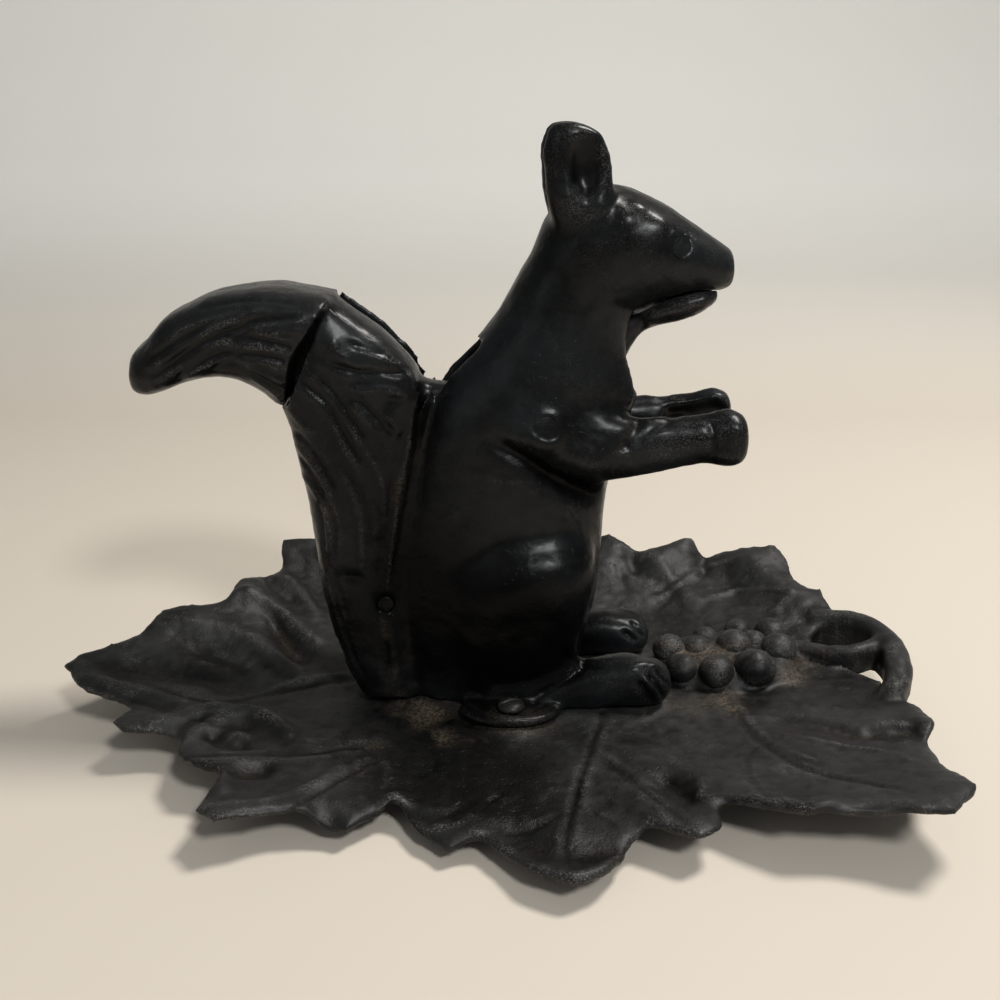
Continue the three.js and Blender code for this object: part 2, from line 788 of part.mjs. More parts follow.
// A round tube along a curve through points given as shares.
function vineTube(shares, radius) {
  const points = shares.map(([x, y, z]) => new THREE.Vector3(leafX(x), leafX(y), curlZ(z)));
  const section = new THREE.Shape();
  section.absarc(0, 0, radius, 0, 2 * Math.PI);
  return solidOf(
    new THREE.ExtrudeGeometry(section, {
      steps: vineSteps * (shares.length - 1),
      curveSegments: vineSides,
      extrudePath: new THREE.CatmullRomCurve3(points),
    }),
  );
}

function leafTray() {
  const x = figureX(lugShare);
  const pad = (middle, y, length, width) =>
    post(middle, y, leafMiddle, seatTop, length / 2, { stretch: width / length, sides: wideSides });
  const bodyPad = ([middle, length, width], y) =>
    pad(figureX(middle), y, figureX(length), width * bodyWidth);
  const foot = post(0, 0, 0, leafMiddle, footLength / 2, {
    stretch: footWidth / footLength,
    topRadius: footLength / 2 + footDraft,
    sides: wideSides,
  });
  const grapes = grapeShares.map(([across, along, size, raise]) => {
    const r = size * grapeRadius;
    return ellipsoid([leafX(across), leafX(along), leafFloor + raise * r], [r, r, r], grapeSides);
  });
  const moundRadii = [...moundRadiiShare.map(leafX), moundHeightShare * leafLift];
  const mound = ellipsoid([...moundShare.map(leafX), leafFloor], moundRadii, grapeSides);
  const nutTop = threadEnd + nutHeight + 2 * seatGap;
  const holes = [1, -1].flatMap((side) => [
    post(x, side * screwSpread, -overrun, overrun, screwRadius + holeClearance),
    post(x, side * screwSpread, -overrun, nutTop, nutRecessRadius),
  ]);
  return joined([
    leafSheet(),
    foot,
    bodyPad(rumpPadShares, 0),
    bodyPad(toePadShares, footSpread),
    bodyPad(toePadShares, -footSpread),
    pad(x, 0, lugLength + 2 * seatMargin, 2 * (lugReach + seatMargin)),
    mound,
    ...grapes,
    vineTube(stalkShares, stemRadius),
    vineTube(loopShares, loopRadius),
  ]).subtract(joined(holes));
}

function baseScrew(side) {
  const geometry = headedShaft(screwRadius, screwSeat - threadEnd, screwHeadRadius, screwHeadHeight);
  geometry.rotateX(Math.PI / 2);
  return solidOf(geometry.translate(figureX(lugShare), side * screwSpread, screwSeat));
}

function baseNut(side) {
  const bottom = threadEnd + seatGap;
  const x = figureX(lugShare);
  const y = side * screwSpread;
  const hexagon = post(x, y, bottom, bottom + nutHeight, nutAcrossCorners / 2, { sides: 6 });
  return hexagon.subtract(post(x, y, -overrun, overrun, screwRadius + holeClearance));
}

const blackPaint = new THREE.MeshStandardMaterial({ color: 0x1b1a19, roughness: 0.45, metalness: 0.3 });
const rustyLeaf = new THREE.MeshStandardMaterial({ color: 0x2a2521, roughness: 0.7, metalness: 0.25 });
const paintedSteel = new THREE.MeshStandardMaterial({ color: 0x24221f, roughness: 0.4, metalness: 0.5 });
const bareSteel = new THREE.MeshStandardMaterial({ color: 0x5b5550, roughness: 0.5, metalness: 0.9 });

const nutcracker = new THREE.Group();
const forms = bodyForms();
nutcracker.add(meshOf("leaf_tray", leafTray(), rustyLeaf));
nutcracker.add(meshOf("right_body_half", bodyHalf(-1, forms), blackPaint));
nutcracker.add(meshOf("left_body_half", bodyHalf(1, forms), blackPaint));
nutcracker.add(meshOf("tail_lever", tailLever(), blackPaint));
const pin = crossRivet(pivotShare, pinRadius, pinReach, pinHeadRadius, pinHeadHeight);
nutcracker.add(meshOf("pivot_pin", pin, paintedSteel));
const tailRivet = crossRivet(rivetShare, rivetRadius, rivetReach, rivetHeadRadius, rivetHeadHeight);
nutcracker.add(meshOf("tail_rivet", tailRivet, paintedSteel));
const eyeRivet = crossRivet(eyeShare, eyeRadius, eyeReach, eyeHeadRadius, eyeHeadHeight);
nutcracker.add(meshOf("eye_rivet", eyeRivet, paintedSteel));
for (const [name, side] of [
  ["right", -1],
  ["left", 1],
]) {
  nutcracker.add(meshOf(`${name}_base_screw`, baseScrew(side), paintedSteel));
  nutcracker.add(meshOf(`${name}_base_nut`, baseNut(side), bareSteel));
}

export default nutcracker;
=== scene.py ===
"""A black painted cast-iron squirrel nutcracker on its leaf tray, dressed over the CAD frame."""

import math

import bmesh
import bpy
import numpy as np
from mathutils import Matrix, Vector, noise
from mathutils.bvhtree import BVHTree
from mathutils.kdtree import KDTree


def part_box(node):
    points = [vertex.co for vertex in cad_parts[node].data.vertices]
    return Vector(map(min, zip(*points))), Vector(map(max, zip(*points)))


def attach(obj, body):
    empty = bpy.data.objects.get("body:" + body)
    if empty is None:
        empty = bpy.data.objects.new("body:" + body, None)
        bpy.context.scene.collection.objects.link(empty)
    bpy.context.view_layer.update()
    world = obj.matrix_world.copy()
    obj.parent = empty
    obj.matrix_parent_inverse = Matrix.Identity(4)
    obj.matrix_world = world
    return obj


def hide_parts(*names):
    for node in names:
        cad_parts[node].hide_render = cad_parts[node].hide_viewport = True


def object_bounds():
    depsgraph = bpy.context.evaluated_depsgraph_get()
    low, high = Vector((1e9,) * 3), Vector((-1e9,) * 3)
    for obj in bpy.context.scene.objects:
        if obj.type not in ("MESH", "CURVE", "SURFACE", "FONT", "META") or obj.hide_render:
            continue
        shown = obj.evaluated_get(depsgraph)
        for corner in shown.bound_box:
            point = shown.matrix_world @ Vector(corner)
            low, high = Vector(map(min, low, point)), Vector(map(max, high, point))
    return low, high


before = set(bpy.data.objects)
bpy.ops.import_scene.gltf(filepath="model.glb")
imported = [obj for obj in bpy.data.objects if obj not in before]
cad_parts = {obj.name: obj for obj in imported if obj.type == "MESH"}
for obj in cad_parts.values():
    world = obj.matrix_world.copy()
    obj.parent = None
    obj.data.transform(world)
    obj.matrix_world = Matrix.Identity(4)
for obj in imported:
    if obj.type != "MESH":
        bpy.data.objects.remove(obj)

cad_low, cad_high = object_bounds()
scene = bpy.context.scene
scene.view_settings.view_transform = "Standard"
mm = 0.001

# Camera.
# A 43 mm lens, 0.37 m in front of the figure's middle plane and level with the squirrel's ears.
# It looks down a little, so the leaf shows as a dish under the figure.
photo_side = 1000
lens_mm = 43.2
sensor_mm = 36
camera_data = bpy.data.cameras.new("camera")
camera_data.lens = lens_mm
camera_data.sensor_width = sensor_mm
camera = bpy.data.objects.new("camera", camera_data)
camera.location = (0, -0.374, 0.2021)
camera.rotation_euler = (math.radians(90 - 18.65), 0, 0)
scene.collection.objects.link(camera)
scene.camera = camera
bpy.context.view_layer.update()


def sight_line(pixel):
    """The direction in which the camera sees one pixel of its picture."""
    pixels_per_tangent = photo_side * lens_mm / sensor_mm
    right = (pixel[0] - photo_side / 2) / pixels_per_tangent
    up = (photo_side / 2 - pixel[1]) / pixels_per_tangent
    return (camera.matrix_world.to_3x3() @ Vector((right, up, -1))).normalized()


# Leaf tray.
# One open sand casting: a dished vine leaf on an oval foot, with grapes and a looped stalk.
# It is grey iron under worn matt black paint, with brown rust, dust and painted shade in its veins
# and folds.


def shape_of(name, bm):
    """A piece of the scene from a finished bmesh."""
    shape = bpy.data.objects.new(name, bpy.data.meshes.new(name))
    bm.to_mesh(shape.data)
    bm.free()
    scene.collection.objects.link(shape)
    return shape


def apply_modifiers(piece):
    evaluated = piece.evaluated_get(bpy.context.evaluated_depsgraph_get())
    piece.data = bpy.data.meshes.new_from_object(evaluated)
    piece.modifiers.clear()
    piece.data.name = piece.name


merge_distance = 0.001 * mm


def even_skin(name, nodes, voxel, shifts=None):
    """A copy of CAD nodes in one skin of small even faces, and its sharp outer edges as points.

    Where the nodes meet on the middle plane, each node's shift makes it overlap the other.
    """
    parting_room = 0.3 * mm
    sharp_angle = math.radians(50)
    bm = bmesh.new()
    sharp = []
    for i, node in enumerate(nodes):
        part = bmesh.new()
        part.from_mesh(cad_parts[node].data)
        bmesh.ops.remove_doubles(part, verts=part.verts, dist=merge_distance)
        for edge in part.edges:
            a, b = (v.co for v in edge.verts)
            at_parting = shifts and max(abs(a.y), abs(b.y)) < parting_room
            if at_parting or len(edge.link_faces) != 2:
                continue
            if edge.calc_face_angle_signed(0) > sharp_angle:
                steps = math.ceil((b - a).length / voxel)
                sharp += [a.lerp(b, k / steps) for k in range(steps + 1)]
        if shifts:
            for v in part.verts:
                if abs(v.co.y) < parting_room:
                    v.co.y = shifts[i]
        mesh = bpy.data.meshes.new(name)
        part.to_mesh(mesh)
        part.free()
        bm.from_mesh(mesh)
    joined = bpy.data.meshes.new(name)
    bm.to_mesh(joined)
    bm.free()
    piece = bpy.data.objects.new(name, joined)
    scene.collection.objects.link(piece)
    remesh = piece.modifiers.new("even_skin", "REMESH")
    remesh.mode = "VOXEL"
    remesh.voxel_size = voxel
    remesh.adaptivity = 0
    apply_modifiers(piece)
    return piece, sharp


def read_rows(items, field, width, kind=float):
    flat = np.empty(width * len(items), dtype=kind)
    items.foreach_get(field, flat)
    return flat.reshape(-1, width)


def points_of(piece):
    return read_rows(piece.data.vertices, "co", 3)


def normals_of(piece):
    return read_rows(piece.data.vertex_normals, "vector", 3)


def move_points(piece, points):
    points = np.clip(points, np.array(cad_low), np.array(cad_high))
    piece.data.vertices.foreach_set("co", points.ravel())
    piece.data.update()


def edges_of(piece):
    return read_rows(piece.data.edges, "vertices", 2, np.int32)


def relaxed(values, edges, strength, rounds):
    """Values that each drift towards their neighbours' mean, as rammed sand rounds a pattern."""
    a, b = edges.T
    count = np.bincount(edges.ravel(), minlength=len(values))[:, None]
    for _ in range(rounds):
        columns = [
            np.bincount(a, values[b, k], len(values)) + np.bincount(b, values[a, k], len(values))
            for k in range(3)
        ]
        values = values + strength * (np.stack(columns, 1) / count - values)
    return values


def soften(piece, sharp, rounds, keep_near, held=(), least_at_edges=0.08):
    """Rounds a skin as casting does: facets go, real edges and the held balls' forms stay."""
    points = points_of(piece)
    edges = edges_of(piece)
    tree = KDTree(len(sharp))
    for i, place in enumerate(sharp):
        tree.insert(place, i)
    tree.balance()
    gaps = np.array([tree.find(p)[2] for p in points])
    strength = np.clip(gaps / keep_near, least_at_edges, 1)
    for centre, radius, least in held:
        distance = np.linalg.norm(points - np.array(centre), axis=1)
        strength = np.minimum(strength, least + np.clip(distance / radius - 1, 0, 1))
    strength = 0.5 * np.clip(strength, 0, 1)[:, None]
    smooth = relaxed(points, edges, strength, rounds)
    smooth = smooth + relaxed(points - smooth, edges, strength, rounds)
    move_points(piece, relaxed(smooth, edges, 0.5, 2))


def skin_tree(piece):
    faces = [tuple(p.vertices) for p in piece.data.polygons]
    return BVHTree.FromPolygons([Vector(p) for p in points_of(piece)], faces)


def curve_through(path, spacing):
    """A polyline of pixels with its corners cut, sampled at a spacing in pixels."""
    line = [Vector(p) for p in path]
    for _ in range(2):
        cut = [line[0]]
        for p, q in zip(line, line[1:]):
            cut += [p.lerp(q, 0.25), p.lerp(q, 0.75)]
        line = [*cut, line[-1]]
    samples = [line[0]]
    for p, q in zip(line, line[1:]):
        steps = max(1, round((q - p).length / spacing))
        samples += [p.lerp(q, (k + 1) / steps) for k in range(steps)]
    return samples


def pull_along(piece, strokes, sides=(1,), in_plan=False):
    """What strokes do to each point of a skin.

    Each stroke is a strength, a width in millimetres and a path in pixels, thin at both ends.
    """
    least_end = 0.35
    end_rise = 4
    widths_reached = 2.5
    points = points_of(piece)
    tree = skin_tree(piece)
    pull = np.zeros(len(points))
    axes = 2 if in_plan else 3
    sheet_room = 12 * mm
    for strength, width, *path in strokes:
        curve = curve_through(path, max(3, 1.2 * width))
        hits = [tree.ray_cast(camera.location, sight_line(p))[0] for p in curve]
        hits = [hit for hit in hits if hit]
        if not hits:
            continue
        count = len(hits)
        taper = [min(1, least_end + end_rise * min(k, count - 1 - k) / count) for k in range(count)]
        taper = np.array(taper if len(path) > 1 else [1] * count)
        for side in sides:
            mirrored = [Vector((p.x, side * p.y, p.z)) for p in hits]
            places = np.array([tree.find_nearest(p)[0] for p in mirrored])
            reach = np.full(3, widths_reached * width * mm)
            if in_plan:
                reach[2] = sheet_room
            inside = (points > places.min(0) - reach) & (points < places.max(0) + reach)
            close = np.all(inside, axis=1)
            near = np.flatnonzero(close)
            if not len(near):
                continue
            gaps = np.linalg.norm(points[near, None, :axes] - places[None, :, :axes], axis=2)
            here = taper * np.exp(-((gaps / (width * mm)) ** 2))
            if in_plan:
                here = here * (abs(points[near, None, 2] - places[None, :, 2]) < sheet_room)
            pull[near] += strength * here.max(1)
    return pull


def carve(piece, strokes, sides=(1,)):
    """Raises and sinks a skin along strokes, by millimetres."""
    push = pull_along(piece, strokes, sides) * mm
    move_points(piece, points_of(piece) + normals_of(piece) * push[:, None])


def fold(piece, strokes, flat_middle):
    """Bends a thin sheet along strokes, both skins together, outside its flat oval middle."""
    ramp = 6
    lift = pull_along(piece, strokes, in_plan=True) * mm
    points = points_of(piece)
    outside = np.linalg.norm(points[:, :2] / np.array(flat_middle), axis=1) - 1
    points[:, 2] += lift * np.clip(ramp * outside, 0, 1)
    move_points(piece, points)


def roughen(piece, layers, seed):
    """Lumps left by the sand: each layer has a height and a spacing in millimetres."""
    points = points_of(piece)
    push = np.zeros(len(points))
    for i, (height, spacing) in enumerate(layers):
        shift = Vector((seed + 10 * i, seed, i))
        push += [height * mm * noise.noise(Vector(p) / (spacing * mm) + shift) for p in points]
    move_points(piece, points + normals_of(piece) * push[:, None])


def mark_wear(piece, rubbed_or_highlit=(), dusty=(), black=(), sides=(1,), plain=()):
    """Stores where a skin stands out or has a painted highlight, lies back, is dusty or stays black
    as painted shade, for the paints.

    Round the plain cross axes (x, z and a radius) the skin neither stands out nor lies back.
    """
    ridge, fine_hollow, broad_hollow = 0.3 * mm, 0.12 * mm, 0.9 * mm
    hollow_share, kept_or_shaded_share = 0.6, 0.6
    fine_rounds, broad_rounds = 8, 60
    points = points_of(piece)
    edges = edges_of(piece)
    normals = normals_of(piece)
    fine = np.sum((points - relaxed(points, edges, 0.5, fine_rounds)) * normals, axis=1)
    broad = np.sum((points - relaxed(points, edges, 0.5, broad_rounds)) * normals, axis=1)
    kept_or_shaded = np.clip(pull_along(piece, black, sides), 0, 1)
    relief = np.ones(len(points))
    for x, z, radius in plain:
        relief *= np.clip(np.hypot(points[:, 0] - x, points[:, 2] - z) / radius - 1, 0, 1)
    raised = fine / ridge + pull_along(piece, rubbed_or_highlit, sides)
    hollow = -hollow_share * fine / fine_hollow - hollow_share * broad / broad_hollow
    marks = {
        "stands_out": relief * (1 - kept_or_shaded_share * kept_or_shaded) * raised,
        "lies_back": relief * hollow,
        "dusty": pull_along(piece, dusty, sides),
        "weathered": 1 - kept_or_shaded,
    }
    for name, values in marks.items():
        attribute = piece.data.attributes.new(name, "FLOAT", "POINT")
        attribute.data.foreach_set("value", np.clip(values, 0, 1))


def finish_cast(piece, material, body, slot, *nodes):
    piece.data.materials.clear()
    piece.data.materials.append(material)
    piece.data.shade_smooth()
    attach(piece, body)
    if nodes:
        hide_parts(*nodes)


def add_node(tree, kind, **settings):
    """A shader node: settings name its properties, or its inputs where it has no such property."""
    node = tree.nodes.new(kind)
    for key, value in settings.items():
        if hasattr(node, key):
            setattr(node, key, value)
        else:
            node.inputs[key.replace("_", " ")].default_value = value
    return node


def new_group(name, inputs, outputs):
    group = bpy.data.node_groups.new(name, "ShaderNodeTree")
    for label, value in inputs.items():
        kind = "NodeSocketColor" if isinstance(value, tuple) else "NodeSocketFloat"
        group.interface.new_socket(label, in_out="INPUT", socket_type=kind).default_value = value
    for label in outputs:
        group.interface.new_socket(label, in_out="OUTPUT", socket_type="NodeSocketFloat")
    return group, group.nodes.new("NodeGroupInput"), group.nodes.new("NodeGroupOutput")


def scaled(tree, socket, low, high):
    """A value brought from low..high to 0..1."""
    node = add_node(tree, "ShaderNodeMapRange", From_Min=low, From_Max=high)
    tree.links.new(socket, node.inputs["Value"])
    return node.outputs["Result"]


def reckoned(tree, operation, first, second):
    """Two values or sockets added, subtracted, multiplied or divided."""
    node = add_node(tree, "ShaderNodeMath", operation=operation)
    for socket, value in zip(node.inputs, (first, second)):
        if isinstance(value, (int, float)):
            socket.default_value = value
        else:
            tree.links.new(value, socket)
    return node.outputs[0]


def multiplied(tree, first, second):
    return reckoned(tree, "MULTIPLY", first, second)


def object_noise(tree, size_socket, detail, roughness=0.5):
    """Noise in object space with a lump size in millimetres."""
    coordinates = tree.nodes.new("ShaderNodeTexCoord")
    per_metre = reckoned(tree, "DIVIDE", 1 / mm, size_socket)
    pattern = add_node(tree, "ShaderNodeTexNoise", Detail=detail, Roughness=roughness)
    tree.links.new(coordinates.outputs["Object"], pattern.inputs["Vector"])
    tree.links.new(per_metre, pattern.inputs["Scale"])
    return pattern.outputs["Fac"]


# Sand grain: a height for the bump, and a mask of the pits that stay open under the paint.
grain_sockets = {"Grain Size": 0.9, "Pit Size": 3.0, "Pit Depth": 0.6}
grain_group, grain_in, grain_out = new_group("sand_grain", grain_sockets, ["Height", "Pits"])
fine_grain = object_noise(grain_group, grain_in.outputs["Grain Size"], 4, 0.6)
pit_noise = object_noise(grain_group, grain_in.outputs["Pit Size"], 3, 0.55)
open_pits = scaled(grain_group, pit_noise, 0.6, 0.74)
sunk = multiplied(grain_group, open_pits, grain_in.outputs["Pit Depth"])
level = reckoned(grain_group, "SUBTRACT", fine_grain, sunk)
grain_group.links.new(level, grain_out.inputs["Height"])
grain_group.links.new(open_pits, grain_out.inputs["Pits"])

# Worn paint: bare flecks where the surface stands out, and painted highlights, broken up by a
# coarse and a fine noise.
wear_sockets = {"Stands Out": 0.0, "Patch Size": 12.0, "Fleck Size": 0.5, "Spread": 0.5}
wear_group, wear_in, wear_out = new_group("worn_paint", wear_sockets, ["Mask"])
patches = scaled(wear_group, object_noise(wear_group, wear_in.outputs["Patch Size"], 2), 0.36, 0.62)
fleck_noise = object_noise(wear_group, wear_in.outputs["Fleck Size"], 6, 0.75)
flecks = scaled(wear_group, fleck_noise, 0.5, 0.66)
raised = scaled(wear_group, wear_in.outputs["Stands Out"], 0.12, 0.8)
worn = multiplied(wear_group, multiplied(wear_group, raised, flecks), patches)
spread = multiplied(wear_group, worn, wear_in.outputs["Spread"])
wear_group.links.new(spread, wear_out.inputs["Mask"])

# Dust and rust: brown where the surface lies back, thicker in some places than in others.
dust_sockets = {"Lies Back": 0.0, "Cloud Size": 16.0, "Speck Size": 1.0, "Amount": 0.85}
dust_group, dust_in, dust_out = new_group("settled_dust", dust_sockets, ["Mask"])
clouds = scaled(dust_group, object_noise(dust_group, dust_in.outputs["Cloud Size"], 3), 0.4, 0.66)
speck_noise = object_noise(dust_group, dust_in.outputs["Speck Size"], 4, 0.65)
specks = scaled(dust_group, speck_noise, 0.35, 0.6)
low_places = scaled(dust_group, dust_in.outputs["Lies Back"], 0.1, 0.8)
powder = multiplied(dust_group, multiplied(dust_group, low_places, specks), clouds)
amount = multiplied(dust_group, powder, dust_in.outputs["Amount"])
dust_group.links.new(amount, dust_out.inputs["Mask"])


def tinted(tree, base, tint, mask):
    """A base colour, or a socket, with another colour laid over it through a mask."""
    mix = tree.nodes.new("ShaderNodeMix")
    mix.data_type = "RGBA"
    sides = [s for s in mix.inputs if s.type == "RGBA"]
    for socket, value in zip(sides, (base, tint)):
        if isinstance(value, tuple):
            socket.default_value = value
        else:
            tree.links.new(value, socket)
    tree.links.new(mask, mix.inputs[0])
    return next(s for s in mix.outputs if s.type == "RGBA")


def blended(tree, low, high, mask):
    """A value that goes from low to high through a mask."""
    node = add_node(tree, "ShaderNodeMapRange", To_Min=low, To_Max=high)
    tree.links.new(mask, node.inputs["Value"])
    return node.outputs["Result"]


def cast_paint(name, paint, faded, bare, dust, gloss, shine, film, grain, wear, cling, bump):
    """Paint on sand-cast iron: two shades of black, bare flecks, dust, painted shade in crevices,
    and grain under it all.

    The gloss is two roughnesses. The film is the share of the shine that smooth paint gives.
    """
    painted_crevice_shade = (0.0008, 0.0007, 0.0006, 1)
    crevice_shade_share = 0.85
    cloud_scale = 45.0
    dust_dulls = 0.3
    grain_height = 0.25 * mm
    material = bpy.data.materials.new(name)
    material.use_nodes = True
    tree = material.node_tree
    shader = tree.nodes["Principled BSDF"]
    surface = add_node(tree, "ShaderNodeGroup", node_tree=grain_group)
    for label, value in zip(("Grain Size", "Pit Size", "Pit Depth"), grain):
        surface.inputs[label].default_value = value
    marks = {}
    for mark in ("stands_out", "lies_back", "dusty", "weathered"):
        marks[mark] = add_node(tree, "ShaderNodeAttribute", attribute_name=mark).outputs["Fac"]
    worn_paint = add_node(tree, "ShaderNodeGroup", node_tree=wear_group)
    worn_paint.inputs["Spread"].default_value = wear
    tree.links.new(marks["stands_out"], worn_paint.inputs["Stands Out"])
    dusted = add_node(tree, "ShaderNodeGroup", node_tree=dust_group)
    clinging = multiplied(tree, marks["lies_back"], cling)
    settled = reckoned(tree, "ADD", clinging, marks["dusty"])
    tree.links.new(settled, dusted.inputs["Lies Back"])
    coordinates = tree.nodes.new("ShaderNodeTexCoord")
    cloudy = add_node(tree, "ShaderNodeTexNoise", Scale=cloud_scale, Detail=5.0, Roughness=0.6)
    tree.links.new(coordinates.outputs["Object"], cloudy.inputs["Vector"])
    cloud_mask = scaled(tree, cloudy.outputs["Fac"], 0.36, 0.66)
    # The fade is left out where a skin stays black as painted shade.
    fade_outside_shade = multiplied(tree, cloud_mask, marks["weathered"])
    colour = tinted(tree, paint, faded, fade_outside_shade)
    # Painted shade: where the skin lies back, the colour goes towards black.
    crevice_shade = multiplied(tree, marks["lies_back"], crevice_shade_share)
    colour = tinted(tree, colour, painted_crevice_shade, crevice_shade)
    colour = tinted(tree, colour, dust, dusted.outputs["Mask"])
    colour = tinted(tree, colour, bare, worn_paint.outputs["Mask"])
    tree.links.new(colour, shader.inputs["Base Color"])
    rough = blended(tree, gloss[0], gloss[1], fade_outside_shade)
    dull = blended(tree, 0.0, dust_dulls, dusted.outputs["Mask"])
    tree.links.new(reckoned(tree, "ADD", rough, dull), shader.inputs["Roughness"])
    relief = add_node(tree, "ShaderNodeBump", Strength=bump, Distance=grain_height)
    tree.links.new(surface.outputs["Height"], relief.inputs["Height"])
    tree.links.new(relief.outputs["Normal"], shader.inputs["Normal"])
    # In painted shade the paint film goes too, so the skin reflects less there.
    coat = blended(tree, 0, 2 * film * shine, marks["weathered"])
    tree.links.new(coat, shader.inputs["Coat Weight"])
    shader.inputs["Coat Roughness"].default_value = (gloss[0] + gloss[1]) / 2
    shader.inputs["Specular IOR Level"].default_value = (1 - film) * shine
    return material


tray_voxel = 1.12 * mm
tray, tray_edges = even_skin("leaf_casting", ["leaf_tray"], tray_voxel)
grape_bunch = ((80 * mm, 9 * mm, 16 * mm), 31 * mm, 0.06)
stalk_loop = ((126 * mm, 5 * mm, 17 * mm), 30 * mm, 0.2)
soften(tray, tray_edges, 75, 1.2 * mm, [grape_bunch, stalk_loop], least_at_edges=0.45)
# The handle is a deep band whose underside hangs lower than a round rod's.
# Each run of it has a radius, the depth that it hangs, and a middle line in millimetres.
near_rod, outer_rod = 3.4 * mm, 4.8 * mm
hang, outer_hang = 6 * mm, 8.5 * mm
inner_line = [(106, 15, 14.3), (116.3, 8.4, 15.8), (124.3, 6.7, 17), (129, 9, 17.6), (135, 13, 18)]
outer_line = [(114, 35, 17), (125.9, 29.6, 18.4), (133.7, 22.9, 18.5)]
outer_line += [(137.2, 10.6, 18), (136.2, -2.6, 17.2)]
return_line = [*outer_line[-2:], (132.5, -14.5, 14.6), (126, -21, 11)]
bands = [
    (near_rod, hang, inner_line),
    (outer_rod, outer_hang, outer_line),
    (outer_rod, hang, return_line),
]
steps = 12
end_ramp = 16
points = points_of(tray)
drop = np.zeros(len(points))
for radius, depth, path in bands:
    pairs = [(Vector(p), Vector(q)) for p, q in zip(path, path[1:])]
    line = mm * np.array([p.lerp(q, k / steps) for p, q in pairs for k in range(steps)])
    gaps = np.linalg.norm(points[:, None, :2] - line[None, :, :2], axis=2)
    nearest = gaps.argmin(1)
    under = np.clip((line[nearest, 2] - points[:, 2]) / radius, 0, 1)
    along = np.linspace(0, 1, len(line))
    ends = np.clip(end_ramp * np.minimum(along + 0.02, 1.04 - along), 0, 1)[nearest]
    drop = np.maximum(drop, depth * under * ends * (gaps.min(1) < 1.1 * radius))
points[:, 2] -= drop
move_points(tray, points)
flat_middle = (60 * mm, 49 * mm)
left_folds = [
    (2.0, 5, (81, 650), (107, 637), (154, 630)),
    (1.5, 4, (85, 667), (118, 687), (146, 692), (192, 709), (234, 713), (258, 717)),
    (-1.8, 6, (102, 671), (140, 668), (180, 671), (215, 678), (248, 687)),
    (2.5, 4, (176, 601), (196, 599), (220, 600), (247, 597)),
    (2.0, 4, (173, 621), (209, 626), (234, 634), (258, 643), (291, 667), (311, 684)),
    (-1.8, 4, (192, 648), (220, 658), (247, 673)),
    (-3.0, 5, (272, 621), (286, 640), (302, 656)),
    (2.0, 3.5, (245, 593), (267, 601), (289, 618), (302, 634), (319, 640)),
    (1.6, 3, (239, 579), (267, 573), (283, 571)),
    (-1.5, 3, (267, 577), (277, 588), (289, 599)),
    (1.5, 3, (275, 571), (297, 585), (319, 621)),
    (2.0, 4, (151, 722), (192, 716), (220, 711), (247, 715), (269, 722), (289, 736)),
    (2.2, 3.5, (184, 747), (203, 728), (231, 720), (256, 720), (275, 727), (289, 736)),
    (-2.0, 3.5, (209, 735), (228, 745), (247, 744)),
    (-2.0, 4, (234, 768), (250, 770), (264, 770)),
    (1.5, 3.5, (209, 794), (225, 786), (220, 772), (242, 764)),
    (2.0, 4, (192, 821), (219, 819), (261, 821), (302, 815)),
    (2.0, 4, (311, 805), (305, 813), (311, 827), (330, 835), (352, 835), (380, 821), (396, 810)),
    (-2.0, 4, (316, 808), (323, 814), (330, 821)),
    (1.5, 4, (396, 805), (401, 827), (415, 843)),
]
right_folds = [
    (
        1.5, 4, (473, 840), (505, 860), (537, 876), (565, 882),
        (604, 875), (628, 857), (646, 838), (660, 824),
    ),
    (-2.0, 6, (508, 826), (540, 846), (575, 856), (610, 846)),
    (-2.5, 6, (664, 779), (678, 788), (692, 797)),
    (2.0, 4, (696, 786), (706, 800)),
    (1.6, 4, (727, 800), (759, 811), (795, 818), (823, 804), (830, 797)),
    (-1.4, 6, (770, 782), (800, 790)),
    (-1.5, 6, (840, 795), (880, 800)),
    (1.8, 4, (893, 687), (915, 701), (936, 719), (939, 726), (925, 738)),
    (-1.5, 4, (869, 731), (897, 733), (915, 729)),
    (-1.2, 5, (777, 720), (815, 726), (862, 736)),
    (-3.0, 3.5, (631, 553), (636, 566)),
    (-3.0, 4, (702, 553), (704, 568)),
    (1.5, 4, (655, 560), (670, 580), (690, 600)),
    (1.5, 5, (740, 552), (770, 580), (800, 600)),
    (-1.4, 5, (720, 575), (745, 600)),
    (-1.4, 5, (790, 570), (815, 590)),
]
fold(tray, left_folds, flat_middle)
fold(tray, right_folds, flat_middle)
